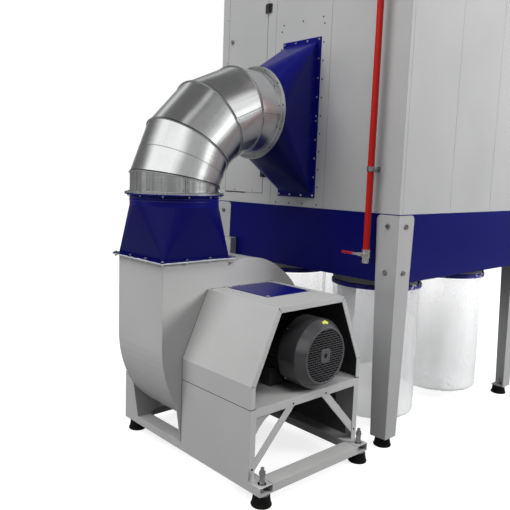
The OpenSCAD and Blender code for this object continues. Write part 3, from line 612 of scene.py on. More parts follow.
for y, (x0, x1) in product((0.08, 0.67), ((-0.08, 0.0), (-1.1, -1.02))):
    weld(bm, (x0, y, RAIL_TOP), (x1, y, RAIL_TOP), Z, 0.0022, seed=y + x0)
for x, (y0, y1) in product(SCROLL_X, ((0.004, 0.078), (0.672, 0.746))):
    weld(bm, (x + 0.001, y0, RAIL_TOP), (x + 0.001, y1, RAIL_TOP), X + Z, seed=x)
for y, (x0, x1) in product((0.0045, BASE_W - 0.0045), ((-0.57, -0.47), (-0.38, -0.28), (-0.19, -0.09))):
    weld(bm, (x0, y, RAIL_TOP + 0.0002), (x1, y, RAIL_TOP + 0.0002), Z, 0.0022, seed=x0)
piece("base_welds", bm, grey_paint)


# ---- motor bay ----

gusset = mm((4.5, 205), (40, 215), (48, 243), (69, 280), (94, 311), (122, 338), (156, 357), (198, 374),
            (243, 386), (243, 397), (4.5, 397))
plate(bm, gusset, 0.0025, aimed((-0.1135, 0, 0), X))
piece("bay_gusset", bm, grey_paint)

for y, z in ((0.268, 0.392), (0.496, 0.392), (0.019, 0.148), (0.731, 0.148)):
    hex_head(bm, (BAY_X, y, z), X, 0.0045, spin=0.3 + y)
piece("brace_bolts", bm, black_zinc)

for y in (0.152, 0.598):
    pan_screw(bm, (BAY_X, y, 0.848), X, 0.0032, 0.0018)
for y in (0.165, 0.245, 0.345, 0.585):
    pan_screw(bm, (-0.562, y, HOOD_TOP), Z, 0.0036, 0.0022)
piece("hood_screws", bm, black_zinc)

for x, y in product((-0.544, -0.269), (0.27, 0.546)):
    turned(bm, mm((3.5, 0), (9.4, 0), (9.8, 0.8), (9.4, 1.6), (3.5, 1.6)), (x, y, 0.858), Z, 20, True)
    pan_screw(bm, (x, y, 0.8594), Z, 0.0072, 0.004)
piece("cover_screws", bm, bright_zinc)

# Thin black strips at the hood's front folds, along its foot and round its rear edge: painted shade in the
# joints.
front, rear = BAY_X + 0.0001, SCROLL_X[1] + 0.0011
for (y, z), (inner_y, inner_z) in zip(HOOD[1:5], mm((26, 519), (167, 829), (583, 829), (724, 519))):
    strip(bm, vec(front, y, z), vec(front, inner_y, inner_z), X, 0.0008, 0.0002, -0.0006)
for y, out in ((0.0, -Y), (BASE_W, Y)):
    strip(bm, vec(SCROLL_X[1] + 0.001, y, DECK_Z), vec(BAY_X - 0.001, y, DECK_Z), out, 0.0013)
    strip(bm, vec(rear, y, 0.097), vec(rear, y, DECK_Z - 0.001), out, 0.001)
for (y0, z0), (y1, z1) in zip(HOOD, HOOD[1:]):
    strip(bm, vec(rear, y0, z0), vec(rear, y1, z1), vec(0, z0 - z1, y1 - y0).normalized(), 0.001)
for y0, y1 in ((0.0, 0.035), (0.715, 0.75)):
    strip(bm, vec(BAY_X, y0, DECK_Z), vec(BAY_X, y1, DECK_Z), X, 0.001)
piece("hood_joint_shade_lines", bm, black_and_gap_shade)


def egg_crate_sheet(bm, y, z, dy, dz, length, thickness, pitch=0.028):
    """An egg-crate sheet from (y, z) over (dy, dz), as long as length along X; its bumps stand along u x v.
    """
    corner, u, v = vec(-0.568, y, z), vec(0, dy, dz), vec(length)
    out = u.cross(v).normalized()
    nu, nv = (max(4, int(side.length / pitch * 4)) for side in (u, v))
    grid = []
    for i in range(nu + 1):
        row = []
        for j in range(nv + 1):
            wave = cos(2 * pi * u.length * i / nu / pitch) * cos(2 * pi * v.length * j / nv / pitch)
            lift = thickness * (0.72 + 0.28 * wave if 0 < i < nu and 0 < j < nv else 0.6)
            row.append(bm.verts.new(corner + u * i / nu + v * j / nv + out * lift))
        grid.append(row)
    for i in range(nu):
        for j in range(nv):
            bm.faces.new((grid[i][j], grid[i + 1][j], grid[i + 1][j + 1], grid[i][j + 1]))
    rim = [row[0] for row in grid] + grid[nu][1:] + [row[nv] for row in grid[-2::-1]] + grid[0][-2:0:-1]
    back = [bm.verts.new(p.co - out * (p.co - corner).dot(out)) for p in rim]
    skin(bm, [rim, back])
    bm.faces.new(back[::-1])


# Black egg-crate foam lining the hood's inside: a sound lining, also put there as painted shade.
for y, z, dy, dz in ((0.0034, 0.426, 0, 0.104), (0.004, 0.532, 0.143, 0.314), (0.16, 0.8515, 0.43, 0),
                     (0.603, 0.846, 0.143, -0.314), (0.7466, 0.53, 0, -0.104)):
    egg_crate_sheet(bm, y, z, dy, dz, 0.48, 0.012)
piece("hood_foam_and_shade", bm, black_foam_and_shade, angle=60)

# Dark sheets on the far side panel under the deck, stepped to end behind the far brace, are painted shade;
# the side sheet is bare beyond them.
STEPS = ((0.412, 0.087, 0.28), (0.325, 0.11, 0.356), (0.215, 0.055, 0.403), (0.16, 0.06, 0.43))
for z, height, length in STEPS:
    egg_crate_sheet(bm, 0.7466, z, 0, -height, length, 0.009)
piece("bay_painted_shade", bm, grey_painted_shade, angle=60)


# ---- motor ----

# Pressed fan cowl with its tapered end and rolled ring, open behind the grille.
cowl = mm((167.2, -182), (170, -182), (170, -170), (169, -168), (169, -81), (168.2, -77), (166, -73),
          (139, -36.5), (136.8, -34), (134.5, -32.4), (130, -32), (126.8, -33.2), (125.5, -35.5),
          (125.5, -38), (133, -39), (164, -77), (166.5, -82))
turned(bm, cowl, SHAFT, X, 96, True)
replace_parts(piece("motor_fan_cowl", bm, motor_paint, angle=28), "motor_cowl")

# Rows of short staggered slots, left open between bars and webs, inside the cowl's ring.
place = Matrix.Translation(SHAFT + vec(COWL_FRONT - 0.0045))
r, pitch, bar, step = 0.1275, 0.0112, 0.0046, 0.03
rows = int(r / pitch)
for row in range(-rows, rows + 1):
    z = row * pitch
    half = sqrt(max(1e-6, r * r - (abs(z) + bar / 2) ** 2))
    if half > 0.012:
        slab(bm, (0, -half, z - bar / 2), (0.0016, half, z + bar / 2), 0.0005, place)
    reach = sqrt(max(0.0, r * r - (abs(z + pitch / 2) + pitch / 2) ** 2))
    count = int(reach / step) + 1
    for k in range(-count, count + 1):
        y = (k + 0.5 * (row % 2)) * step
        if abs(y) + 0.003 < reach:
            low, high = z + bar / 2 - 0.0004, z + pitch - bar / 2 + 0.0004
            slab(bm, (0, y - 0.0015, low), (0.0009, y + 0.0015, high), 0.0003, place)
piece("cowl_grille", bm, grille_paint_painted_darker)

# The grille's middle plate, with cut corners, and the black shaft end set back in its hole.
outline = mm((-20, -34), (20, -34), (32, -24), (33, 22), (20, 33), (-20, 33), (-33, 22), (-32, -24))
outer, inner = [], []
for a in around(32):
    ray = Vector((cos(a), sin(a)))
    best = 1.0
    for p, q in sides([Vector(p) for p in outline]):
        normal = Vector((q.y - p.y, p.x - q.x))
        along = ray.dot(normal)
        if along > 1e-9:
            best = min(best, p.dot(normal) / along)
    outer.append(ray * best)
    inner.append(ray * 0.0115)
hub = SHAFT + vec(COWL_FRONT - 0.0032)
place = aimed(hub, X)
levels = ((outer, 1.0, 0.0), (outer, 1.0, 0.0014), (outer, 0.95, 0.002),
          (inner, 1.15, 0.002), (inner, 1.0, 0.0014), (inner, 1.0, 0.0))
rings = [[bm.verts.new(place @ vec(p.x * k, p.y * k, z)) for p in ring] for ring, k, z in levels]
skin(bm, rings, True)
plug = bmesh.new()
turned(plug, mm((11.8, -6), (11.8, 0.4), (10.6, 0.9), (3, 0.9), (2.2, 0), (0, 0)), hub, X, 32)
piece("cowl_hub_plug", plug, black_and_gap_shade)
piece("cowl_hub_plate", bm, motor_paint)

disc = mm((0, -115), (150, -115), (152, -113), (150, -110), (34, -108), (30, -60), (0, -58))
turned(bm, disc, SHAFT, X, 48)
for a in around(7):
    blade = Matrix.Translation(SHAFT) @ Matrix.Rotation(a, 4, "X")
    slab(bm, (-0.112, 0.028, -0.002), (-0.06, 0.128, 0.002), 0.001, blade)
piece("motor_cooling_fan", bm, black_and_gap_shade)

# A small bent arrow on the cowl's taper, which shows the way the motor turns.
outline = mm((-21, -5.5), (-5, -5.5), (-5, -10.5), (8, -10.5), (21, 0), (8, 10.5), (-5, 10.5), (-5, 5),
             (-12, 5), (-12, 9.2), (-21, 9.2))
face = []
for (u0, v0), (u1, v1) in sides(outline):
    for t in (0, 1 / 3, 2 / 3):
        u, back = u0 + (u1 - u0) * t, 0.026 - (v0 + (v1 - v0) * t) * 0.815
        r = 0.139 + (back - 0.0045) * 0.745 + 0.0004
        a = radians(84.5) - u / r
        face.append(bm.verts.new(SHAFT + vec(COWL_FRONT - back, r * cos(a), r * sin(a))))
bm.faces.new(face)
bmesh.ops.triangulate(bm, faces=bm.faces[:])
piece("rotation_arrow", bm, yellow_vinyl)

for a in (45, 135, 225, 315):
    out = vec(0, cosd(a), sind(a))
    pan_screw(bm, SHAFT + vec(-0.172) + out * 0.1698, out, 0.005, 0.0034)
piece("cowl_screws", bm, zinc)

for x, y in product((-0.45, -0.302), (0.3, 0.56)):
    hex_head(bm, (x, y, 0.452), Z, 0.012)
piece("motor_foot_bolts", bm, black_zinc)

# The terminal box's lid, screws and glands, and the motor's lifting eye.
lid_y = 0.21
slab(bm, (-0.459, lid_y - 0.008, 0.519), (-0.301, lid_y, 0.647), 0.003)
for x, z in product((-0.445, -0.315), (0.533, 0.633)):
    pan_screw(bm, (x, lid_y - 0.008, z), -Y, 0.0045, 0.003)
gland = mm((0, -22), (12, -22), (13.5, -20), (13.5, -8), (16, -7), (16, 0), (0, 0))
for x in (-0.415, -0.345):
    turned(bm, gland, (x, 0.255, 0.523), Z, 6)
eye = mm((10, -4), (10, 4), (13, 7), (18, 9), (23, 7), (26, 0), (23, -7), (18, -9), (13, -7))
turned(bm, eye, (-0.36, SHAFT.y, SHAFT.z + 0.186), X, 24, True)
piece("motor_fittings", bm, motor_paint)


# ---- scroll ----

# The scroll's outline in YZ, as in the part: a flat face, then a spiral, then the tongue.
tongue = 450 + degrees(asin((SHAFT.y - NECK_Y[1]) / 0.395))
outline = [(NECK_Y[0], 1.000)]
for i in range(145):
    a = 180 + (tongue - 180) * i / 144
    r = 0.395 + 0.155 * min(1.0, max(0.0, (tongue - a - 60) / 195))
    outline.append((SHAFT.y + r * cosd(a), SHAFT.z + r * sind(a)))
outline.append((NECK_Y[1], 1.000))
section = mm((0.4, 3.4), (1, 0), (0.4, -3.4), (-1.5, -3.4), (-1.5, 3.4))
for x in (SCROLL_X[0] + 0.0052, SCROLL_X[1] - 0.0052):
    path = [vec(x, y, z) for y, z in outline]
    alongs = [b - a for a, b in zip(path[:1] + path[:-1], path[1:] + path[-1:])]
    swept(bm, path, section, [vec(0, along.z, -along.y) for along in alongs])
piece("scroll_edge_welds", bm, grey_paint)

# The square flange: four bolts to a side, and sealant squeezed out round it.
NECK = ((SCROLL_X[0] - 0.025, SCROLL_X[1] + 0.025), (NECK_Y[0] - 0.025, NECK_Y[1] + 0.025))
xs, ys = ([a + 0.0125 + (b - a - 0.025) * i / 3 for i in range(4)] for a, b in NECK)
places = [(x, y) for x in xs for y in ys if x in (xs[0], xs[-1]) or y in (ys[0], ys[-1])]
for i, (x, y) in enumerate(places):
    hex_head(bm, (x, y, 1.012), Z, 0.0075, spin=i * 0.7)
    nut_and_thread(bm, (x, y, 1.000), -Z, 0.0062, 0.9)
piece("neck_bolts", bm, bright_zinc)

(x0, x1), (y0, y1) = NECK
for a, b in sides([vec(x, y, 1.006) for x, y in ((x0, y0), (x1, y0), (x1, y1), (x0, y1))]):
    out = (b - a).cross(Z).normalized()
    rings = []
    for i in range(61):
        p = a.lerp(b, i / 60)
        p = p + Z * 0.0016 * noise(p * 22)
        w = 0.0014 + 0.0022 * max(0.0, noise(p * 31 + vec(3, 1, 7)))
        ring = [p + out * (w * cos(t) - 0.0006) + Z * w * 0.9 * sin(t) for t in around(8)]
        rings.append([bm.verts.new(corner) for corner in ring])
    capped(bm, rings)
piece("neck_sealant", bm, white_seal)

for k in range(12):
    a = 15 + 30 * k
    spot = SHAFT + vec(SCROLL_X[0] - FLANGE_T, 0.2375 * cosd(a), 0.2375 * sind(a))
    hex_head(bm, spot, -X, 0.008, spin=k)
piece("inlet_bolts", bm, zinc)


# ---- duct ----

for k, a in enumerate(around(12)):
    spot = COLLAR + 0.2378 * vec(cos(a + 0.2), sin(a + 0.2))
    hex_head(bm, spot + Z * FLANGE_T, Z, 0.0056, spin=1.3 * k)
    nut_and_thread(bm, spot - Z * FLANGE_T, -Z, 0.0056, 0.7)
piece("collar_bolts", bm, zinc)

for a in around(12):
    spot = ELBOW_END + 0.2385 * vec(cos(a + 0.13), 0, sin(a + 0.13))
    pan_screw(bm, spot - Y * FLANGE_T, -Y, 0.0044, 0.0024)
    nut_and_thread(bm, spot + Y * FLANGE_T, Y, 0.005, 0.5)
piece("elbow_end_bolts", bm, black_zinc)


def gore_place(k):
    """Frame of elbow piece k, whose tube runs along local Z at local y = -BEND_R."""
    return Matrix.Translation(BEND) @ Matrix.Rotation(radians(-22.5 * k), 4, "X")


def on_gore(k, a, z, r=DUCT_R):
    return gore_place(k) @ vec(r * cos(a), -BEND_R + r * sin(a), z)


def outward_on(k, a):
    return gore_place(k).to_3x3() @ vec(cos(a), sin(a))


def gore_end(k, a, far):
    """Local height where piece k ends, at angle a round its tube."""
    if k == 0 and not far:
        return 0.029
    if k == 4 and far:
        return TAIL
    mitre = (BEND_R - DUCT_R * sin(a)) * tan(radians(11.25))
    return mitre if far else -mitre


def hoop(bm, k, section, height):
    """A closed band round piece k, at a height that may change with the angle."""
    path = [on_gore(k, a, height(a)) for a in around(96)]
    swept(bm, path, section, [outward_on(k, a) for a in around(96)], True)


section = mm((-1, -4.2), (2.2, -3.6), (5, -1.4), (5.6, 0.6), (4.6, 2.4), (1.4, 3.2), (-1, 4.2))
for k in range(4):
    hoop(bm, k, section, lambda a: gore_end(k, a, True))
# The beads have a darker copy of the sheet colour, a painted shade.
piece("elbow_beads", bm, galvanised("galvanised_bead", (0.52, 0.525, 0.53), 0.3))

# A black strip beside each bead: painted shade of the groove.
for k in range(1, 5):
    hoop(bm, k, mm((-0.8, -2.6), (1, -2.2), (1, 1.4), (-0.8, 1.8)), lambda a: gore_end(k, a, False) + 0.0062)
piece("elbow_bead_groove_shade", bm, black_and_gap_shade)

# Each piece has a lap joint, which stands proud by one sheet, with a black strip beside it, the painted shade
# of its gap. One has a mid ring.
SEAMS = {0: -20, 1: 160, 2: 150, 3: 1, 4: 8}
laps, gaps = bmesh.new(), bmesh.new()
for k, a in SEAMS.items():
    rings = []
    for i in range(9):
        b = radians(a) + 0.02 / DUCT_R * (i / 8 - 0.5)
        low, high = gore_end(k, b, False) + 0.004, gore_end(k, b, True) - 0.004
        corners = ((low, 0.0002), (low, 0.0011), (high, 0.0011), (high, 0.0002))
        rings.append([laps.verts.new(on_gore(k, b, z, DUCT_R + lift)) for z, lift in corners])
    capped(laps, rings)
    b = radians(a) - 0.0108 / DUCT_R
    ends = (gore_end(k, b, False) + 0.008, gore_end(k, b, True) - 0.008)
    low, high = (on_gore(k, b, z, DUCT_R + 0.0004) for z in ends)
    strip(gaps, low, high, outward_on(k, b), 0.0013, 0.0003, -0.001)
hoop(laps, 1, mm((-0.8, -3), (0.8, -2.4), (1.3, 0), (0.8, 2.4), (-0.8, 3)), lambda a: 0.0)
piece("elbow_seams", laps, galvanised("galvanised_seam", (0.66, 0.67, 0.68), 0.24))
piece("elbow_seam_gap_shade", gaps, black_and_gap_shade)

for k, a in SEAMS.items():
    a = radians(a)
    low, high = gore_end(k, a, False), gore_end(k, a, True)
    count = max(2, int((high - low) / 0.035))
    for i in range(count):
        z = low + (high - low) * (i + 0.5) / count
        rivet(bm, on_gore(k, a, z, DUCT_R + 0.0008), outward_on(k, a), 0.0026, 0.0014)
for i in range(8):
    a = radians(20 + 45 * i)
    for k, z in ((4, TAIL - 0.016), (0, 0.029 + 0.02)):
        rivet(bm, on_gore(k, a, z), outward_on(k, a), 0.0028, 0.0016)
piece("elbow_rivets", bm, black_zinc)

ways = [vec(cos(a), sin(a)) for a in around(96)]
for z, lift in ((1.303, 1.0), (1.288, 0.6)):
    path = [vec(COLLAR.x, COLLAR.y, z) + 0.2262 * way for way in ways]
    section = mm((-1, -3), (1.6 * lift, -2.4), (2.6 * lift, 0), (1.6 * lift, 2.4), (-1, 3))
    swept(bm, path, section, ways, True)
piece("collar_bead", bm, blue_gloss_painted_lighter)

# The folded ring flanges of the elbow are a little thicker at their lip.
for ring in ((COLLAR, Z), (ELBOW_END, -Y)):
    turned(bm, mm((227.5, 5.8), (234, 6.6), (248, 6.6), (250, 5.8), (250, 0.4), (227, 0.4)), *ring, 96, True)
    turned(bm, mm((224.8, 6), (229, 6), (227.2, 7.8), (225.4, 10.5), (224.8, 13)), *ring, 96, True)
# The ring faces have a darker copy of the sheet colour, a painted shade.
piece("elbow_ring_faces", bm, galvanised("galvanised_ring", (0.58, 0.585, 0.59), 0.4))


# ---- transition to the housing ----

down = [TRANS.z + side * (0.013 + 0.1051 * i) for side in (-1, 1) for i in range(5)]
across = [TRANS.x - 0.1335 + 0.089 * i for i in range(4)]
for i, z in enumerate(down):
    for x in (across[0], across[-1]):
        hex_head(bm, (x, HOUSE_Y[0] - FLANGE_T, z), -Y, 0.006, spin=i * 0.9 + x)
for x in across[1:-1]:
    for z in (min(down), max(down)):
        hex_head(bm, (x, HOUSE_Y[0] - FLANGE_T, z), -Y, 0.006, spin=x * 40)
piece("transition_bolts", bm, bright_zinc)


def on_front(x, z, out=0.0):
    return vec(x, HOUSE_Y[0] - out, z)


places = [(x, 1.265 + 0.1 * i) for i in range(11) for x in (-0.897, -0.5695)]
places += [(-0.883, 2.301), (-0.731, 2.301), (-0.58, 2.301), (-0.788, 1.265), (-0.679, 1.265)]
for x, z in places:
    rivet(bm, on_front(x, z), -Y, 0.005, 0.002)
piece("panel_rivets", bm, black_zinc)


# ---- housing ----

x0, x1, z0, z1 = DOOR_X[0] - 0.007, DOOR_X[1] + 0.007, DOOR_Z[0] - 0.007, DOOR_Z[1] + 0.007
corners = [on_front(x, z, -0.0055) for x, z in ((x0, z0), (x1, z0), (x1, z1), (x0, z1))]
section = mm((0.2, -4.5), (4, -4.5), (5.8, -2), (6.2, 1.5), (5.5, 4), (0.2, 4.5))
for (a, b), inward in zip(sides(corners), (Z, -X, -Z, X)):
    swept(bm, [a, b], section, [inward] * 2)
piece("door_gasket", bm, gasket_grey)

# A black strip under most of the door's lower edge: painted shade in the gap.
low, high = (on_front(x, DOOR_Z[0] - 0.0035, -0.0015) for x in (DOOR_X[0], DOOR_X[1] - 0.16))
strip(bm, low, high, Z, 0.003, 0.0016, -0.003)
piece("door_gap_shade_strip", bm, black_and_gap_shade)

for body, side in ((ROOT, 1), ("door", -1)):
    for z, dz in product((DOOR_Z[0] + 0.123, DOOR_Z[1] - 0.123), (-0.016, 0.016)):
        pan_screw(bm, on_front(HINGE_X + side * 0.0175, z + dz, 0.008), -Y, 0.0042, 0.0018)
    piece("hinge_screws_" + body, bm, black_zinc, body=body)

rose = mm((0, 0), (12.5, 0), (12.5, 1.2), (11.5, 3), (9.5, 4.8), (0, 4.8))
for z in (DOOR_Z[1] - 0.277, DOOR_Z[0] + 0.277):
    turned(bm, rose, on_front(DOOR_X[0] + 0.035, z), -Y, 32)
    wing = aimed(on_front(DOOR_X[0] + 0.035, z, 0.005), -Y)
    plate(bm, rounded_outline(0.007, 0.025, 0.003), 0.008, wing)
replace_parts(piece("lock_wings", bm, zinc, body="door"), "door_locks")

for z, x in product((DOOR_Z[0] + 0.012, DOOR_Z[1] - 0.012), (DOOR_X[0] + 0.09, DOOR_X[1] - 0.09)):
    rivet(bm, on_front(x, z), -Y, 0.004, 0.0018)
piece("door_rivets", bm, black_zinc, body="door")

# The four corner legs: the corner, and the ways along X and Y into the housing.
LEGS = [(x, y, ix, iy) for (x, ix), (y, iy) in product(zip(HOUSE_X, (1, -1)), zip(HOUSE_Y, (1, -1)))]
for x, y, ix, iy in LEGS:
    for z in (1.185, 0.945):
        hex_head(bm, (x + ix * 0.06, y - iy * 0.005, z), -iy * Y, 0.013, spin=z * 9 + x)
        hex_head(bm, (x - ix * 0.005, y + iy * 0.056, z), -ix * X, 0.013, spin=z * 5 + y)
piece("leg_bolts", bm, zinc)

HOUSING_FEET = [(x + ix * 0.045, y + iy * 0.045) for x, y, ix, iy in LEGS]
feet("housing_rubber_feet", "housing_feet", HOUSING_FEET, 0.06)

for x, y in HOUSING_FEET:
    threads(bm, (x, y, 0.078), Z, 0.0083, 0.014)
piece("housing_stud_threads", bm, zinc)

for x, y, ix, iy in LEGS:
    for dx, dy, length, seed in ((0.002, -0.0052, vec(0.086), x), (-0.0052, 0.002, vec(0, 0.076), y)):
        start = vec(x + ix * dx, y + iy * dy, 0.062)
        out = vec(0, -iy, 0.3) if length.x else vec(-ix, 0, 0.3)
        weld(bm, start, start + vec(ix * length.x, iy * length.y), out, 0.0012, seed=seed)
piece("leg_welds", bm, leg_paint_painted_darker)

for z in (1.33 + 0.27 * i for i in range(6)):
    for x, y, ix, iy in LEGS:
        if y == HOUSE_Y[1] or x == HOUSE_X[0]:
            rivet(bm, (x + ix * 0.045, y, z), -iy * Y, 0.0042, 0.0018)
    for across in (0.455, 0.495, 0.93, 0.97):
        rivet(bm, (HOUSE_X[0] + across, HOUSE_Y[1], z), Y, 0.0042, 0.0018)
        rivet(bm, (HOUSE_X[0], HOUSE_Y[0] + across, z), -X, 0.0042, 0.0018)
piece("wall_rivets", bm, zinc)

for i in range(8):
    x, y = (lo + (hi - lo) * (i + 0.5) / 8 for lo, hi in (HOUSE_X, HOUSE_Y))
    for k, side in ((0, -1), (1, 1)):
        pan_screw(bm, (x, HOUSE_Y[k] + side * 0.004, ROOF_EDGE_Z), side * Y, 0.005, 0.003)
        pan_screw(bm, (HOUSE_X[k] + side * 0.004, y, ROOF_EDGE_Z), side * X, 0.005, 0.003)
piece("roof_screws", bm, zinc)


# ---- dust bags ----

# Each collar has a webbing band and a black buckle: a bar across it, and a lever that stands off it.
bands, buckles = bmesh.new(), bmesh.new()
band = mm((250, -20), (252.45, -20), (253.5, -16.8), (252.8, -8), (252.8, 8), (253.5, 16.8), (252.45, 20),
          (250, 20))
for x, y in product(BAG_X, BAG_Y):
    turned(bands, band, (x, y, BAND_Z), Z, 96, True)
    bar, lever = (aimed((x, y, BAND_Z), Z, radians(a)) for a in (12, 24))
    slab(buckles, (0.253, -0.006, -0.0224), (0.262, 0.006, 0.02), 0.002, bar)
    slab(buckles, (0.251, -0.014, -0.005), (0.265, 0.02, 0.021), 0.003, lever)
    slab(buckles, (0.255, 0.01, -0.002), (0.265, 0.112, 0.018), 0.004, lever)
piece("bag_straps", bands, band_grey)
piece("bag_buckles", buckles, black_plastic)

# The film's mouth is pulled up over the collar's blue rim, and held by the strap.
BAG_MOUTH = mm((252.8, 842), (254.5, 836.5), (260.5, 833.5), (261.8, 829), (262, 822), (261.8, 815),
               (260, 811), (256, 805), (253, 797))
BAG_FOOT = [(0.985, 0.076), (0.955, 0.068), (0.9, 0.064), (0.74, 0.0622), (0.5, 0.0616), (0.25, 0.0614)]


def ridge(value):
    """Turns smooth noise into sharp folds."""
    return max(0.0, 1 - 3.2 * abs(value)) ** 2


def bag_shell(bm, x, y, seed):
    """A clear film bag, tight over its rim, filled out to a straight tube that is creased near its ends."""
    rows, high, low = 104, 0.79, 0.086
    shift = vec(7.3, 3.1, 1.7) * seed
    ways = [vec(cos(a), sin(a)) for a in around(200)]

    def folds(way, scale, z):
        return ridge(noise(way * scale + Z * z + shift))

    def ring(radii, z):
        return [bm.verts.new((x + r * way.x, y + r * way.y, z)) for r, way in zip(radii, ways)]

    rings = [ring([r + 0.0022 * folds(way, 15, z * 26) for way in ways], z) for r, z in BAG_MOUTH]
    for i in range(rows + 1):
        t = i / rows
        z = high + (low - high) * t
        ends = max(0.1, (t - 0.58) / 0.42)
        radii = []
        for way in ways:
            broad = noise(way * 1.5 + Z * z * 0.8 + shift)
            pull = folds(way, 7.0, z * 1.1) * max(0.0, 1 - t * 4.0)
            patch = max(0.0, noise(way * 1.6 + Z * z * 3.0 + shift * 2) + 0.18)
            crumple = folds(way, 10, z * 17) + 0.5 * folds(way, 23, z * 40)
            radii.append(BAG_R + 0.003 * t + 0.0032 * broad - 0.003 * pull + 0.0075 * crumple * patch * ends)
        rings.append(ring(radii, z))
    brim = [v.co - vec(x, y, v.co.z) for v in rings[-1]]
    for scale, z in BAG_FOOT:
        spots = [way * scale for way in brim]
        rings.append([bm.verts.new((x + p.x, y + p.y, z + 0.004 * folds(p, 22, 0.0))) for p in spots])
    rings.append([bm.verts.new((x, y, BAG_FOOT[-1][1]))])
    skin(bm, rings)


for name, node, y, seed in (("bag_film_front", "bags_front", BAG_Y[0], 1),
                            ("bag_film_rear", "bags_rear", BAG_Y[1], 4)):
    for i, x in enumerate(BAG_X):
        bag_shell(bm, x, y, seed + i)
    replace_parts(piece(name, bm, film, angle=60), node)


# ---- extinguishing pipe ----

for z in (1.473, 2.44):
    for near, far in ((-0.0235, -0.0245), (0.0205, 0.0335)):
        slab(bm, (near, -0.0025, z - 0.01), (far, 0.0025, z + 0.01), 0.0006, aimed((PIPE.x, PIPE.y, 0), Z))
    hex_head(bm, (PIPE.x + 0.026, PIPE.y - 0.0028, z), -Y, 0.006)
    nut_and_thread(bm, (PIPE.x, PIPE.y + 0.032, z), -Y, 0.008, 0.1)
    for x in (-0.013, 0.013):
        pan_screw(bm, on_front(PIPE.x + x, z + 0.006, 0.003), -Y, 0.0042, 0.0024)
piece("clamp_hardware", bm, zinc)

turned(bm, mm((0, -48.5), (15, -48.5), (19.2, -46.5), (19.2, -30), (17.5, -28), (0, -28)), VALVE, Z, 8)
turned(bm, mm((0, 19), (20, 19), (22.2, 20.5), (22.2, 23.5), (19, 26), (0, 26)), VALVE, Z, 8)
turned(bm, mm((0, 0), (14, 0), (14, 10), (11, 12), (11, 15), (0, 15)), VALVE - Y * 0.02, -Y, 24)
nut_and_thread(bm, VALVE - Y * 0.0402, -Y, 0.0075, 0.15)
piece("valve_details", bm, nickel)

turned(bm, mm((0, 0), (19, 0), (20.5, 1.2), (20.5, 4.8), (19.2, 6.2), (0, 6.2)), PIPE, Z, 32)
rose = mm((0, 0), (34, 0), (34, 4), (30, 5.2), (20, 5.6), (18, 9), (0, 9))
turned(bm, rose, on_front(PIPE.x, 2.76), -Y, 40)
piece("pipe_collars", bm, red_paint)

STEM_Y = 0.834
outline = mm((0, 9.5), (-18, 9.5), (-30, 6.2), (-60, 6.2), (-60, -6.2), (-30, -6.2), (-18, -9.5), (0, -9.5))
outline += [(0.0126 * sind(a), -0.0126 * cosd(a)) for a in range(40, 141, 20)]
plate(bm, outline, 0.0026, aimed((PIPE.x, STEM_Y - 0.001, VALVE.z), -Y))
lever_steel = piece("lever_bar", bm, nickel, body="lever")
rings = []
for reach, w, h in ((0.046, 0.0058, 0.0022), (0.049, 0.0068, 0.0036), (0.075, 0.0072, 0.0038),
                    (0.1, 0.0078, 0.004), (0.122, 0.008, 0.004), (0.128, 0.0072, 0.0036),
                    (0.13, 0.0052, 0.0024)):
    middle = vec(PIPE.x - reach, STEM_Y - 0.0004, VALVE.z)
    rings.append([bm.verts.new(middle + vec(0, -h * sin(a), w * cos(a))) for a in around(16)])
capped(bm, rings)
piece("lever_grip", bm, red_grip, body="lever")
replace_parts(lever_steel, "valve_lever")


# ---- small junction box under the door ----

slab(bm, (-1.363, 0.869, 0.891), (-1.245, 0.885, 1.013), 0.003)
for x, z in product((-1.353, -1.255), (0.901, 1.003)):
    pan_screw(bm, (x, 0.869, z), -Y, 0.0045, 0.0024)
piece("junction_box_lid", bm, box_grey)

for x in (-1.335, -1.272):
    at = (x, 0.898, 0.892)
    turned(bm, mm((0, -26), (6, -26), (9.5, -24), (11, -16), (11, -12)), at, Z, 20)
    turned(bm, mm((0, -12.5), (13, -12.5), (13, 0), (0, 0)), at, Z, 6)
piece("junction_box_glands", bm, black_plastic)


# ---- floor, background and light ----

def background_ray(n, gloss=1.0):
    """1 for rays that see the pale background: from the camera, through film, or off gloss by its share."""
    rays = n.node("LightPath").outputs
    seen = n.math("MAXIMUM", rays["Is Camera Ray"], n.times(rays["Is Glossy Ray"], gloss))
    return n.math("MAXIMUM", seen, rays["Is Transmission Ray"])


def hall(n, patches):
    """What gloss sees of the pale surroundings: a dark ceiling and soft darker patches round the horizon."""
    def band(value, low, high):
        return n.ramp(value, low, high, curve="SMOOTHSTEP")

    way = n.node("TexCoord").outputs["Generated"]
    height = n.height(way)
    flat = n.vector("NORMALIZE", n.vector("MULTIPLY", way, (1, 1, 0)))
    tone = 1.0
    for azimuth, half, soft, low, high, blur, grey in patches:
        near = n.vector("DOT_PRODUCT", flat, (sind(azimuth), cosd(azimuth), 0))
        across = band(near, cosd(half + soft), cosd(half - soft)) if half < 180 else 1.0
        foot = band(height, sind(low - blur), sind(low + blur))
        lid = band(height, sind(min(90, high + blur)), sind(min(89, high - blur)))
        share = n.times(n.times(across, foot), lid)
        tone = n.plus(tone, n.times(share, n.math("SUBTRACT", grey, tone)))
    return n.math("MAXIMUM", tone, n.node("LightPath").outputs["Is Camera Ray"])


def shaded(owner, output):
    """The empty node tree of a world or material, and a function that ends it in a mix of two shaders."""
    owner.use_nodes = True
    owner.node_tree.nodes.clear()
    n = Nodes(owner.node_tree)

    def finish(factor, plain, pale):
        mix = n.node("MixShader", factor, plain.outputs[0], pale.outputs[0])
        n.node(output, mix.outputs[0])

    return n, finish


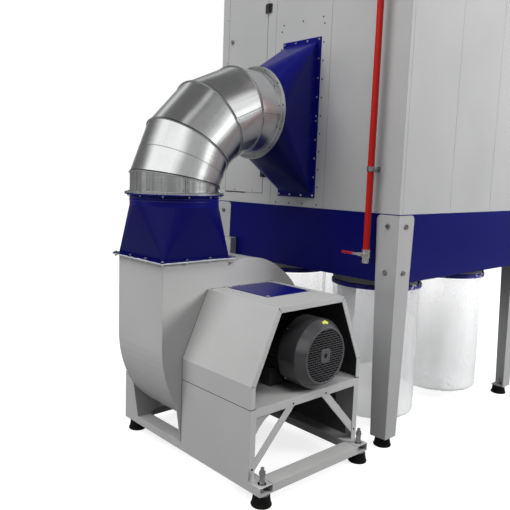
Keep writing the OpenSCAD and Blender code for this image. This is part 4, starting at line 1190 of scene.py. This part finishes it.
PATCHES = [  # azimuth, half width, softness, low, high, blur, grey
    (0, 180, 0, 45, 90, 8, 0.15),
    (-5, 32, 12, 32, 54, 5, 0.55),
    (98, 26, 10, 28, 62, 7, 0.34),
    (130, 9, 8, 60, 74, 5, 0.85),
    (-109, 36, 13, -30, 34, 8, 0.13),
    (-45, 30, 12, -30, 40, 8, 0.3),
    (180, 30, 12, -30, 8, 5, 0.28),
    (128, 22, 10, -30, 9, 5, 0.12),
    (94, 24, 8, -30, 32, 6, 0.36),
    (22, 20, 8, -30, 20, 6, 0.4),
    (56, 7, 5, 4, 18, 5, 1.7),
]
world = bpy.data.worlds.new("studio")
bpy.context.scene.world = world
n, finish = shaded(world, "OutputWorld")
pale = n.node("Background", (1, 1, 1, 1), hall(n, PATCHES))
finish(background_ray(n), n.node("Background", (0.97, 0.98, 1.0, 1), 0.16), pale)

ground = bpy.data.materials.new("studio_floor")
n, finish = shaded(ground, "OutputMaterial")
far = n.vector("LENGTH", n.node("TexCoord").outputs["Object"])
glow = n.node("Emission", Strength=n.ramp(far, 2.0, 6.0, 0.8, 1.0))
pale = n.node("AddShader", n.node("BsdfDiffuse", (0.36, 0.36, 0.365, 1)).outputs[0], glow.outputs[0])
finish(background_ray(n, 0.16), n.node("BsdfDiffuse", (0.13, 0.13, 0.135, 1)), pale)

bmesh.ops.create_grid(bm, x_segments=1, y_segments=1, size=60.0)
mesh = bpy.data.meshes.new("floor")
bm.to_mesh(mesh)
bm.free()
mesh.materials.append(ground)
floor = added("floor", mesh)


def lamp(name, azimuth, elevation, distance, width, height, power):
    """An area lamp that faces the middle of the part; azimuth 0 is +Y and 90 is +X."""
    way = vec(sind(azimuth) * cosd(elevation), cosd(azimuth) * cosd(elevation), sind(elevation))
    data = bpy.data.lights.new(name, "AREA")
    data.shape = "RECTANGLE"
    data.size, data.size_y = width, height
    data.energy = power
    made = added(name, data)
    at = Matrix.Translation(vec(-0.6, 0.5, 1.5) + way * distance)
    made.matrix_world = at @ way.to_track_quat("Z", "Y").to_matrix().to_4x4()
    made.visible_camera = False
    made.visible_glossy = False


lamp("front_light", -170, 40, 7.0, 6.0, 4.6, 376)
lamp("low_light", -162, -7, 7.0, 3.4, 1.2, 112)
lamp("side_light", 118, 54, 7.0, 3.4, 2.4, 245)
lamp("right_light", 54, 15, 7.0, 2.0, 1.8, 440)
lamp("back_light", 4, 10, 6.5, 3.0, 2.0, 130)
lamp("left_light", -92, 10, 6.5, 2.6, 2.0, 140)

bpy.context.scene.view_settings.view_transform = "Standard"
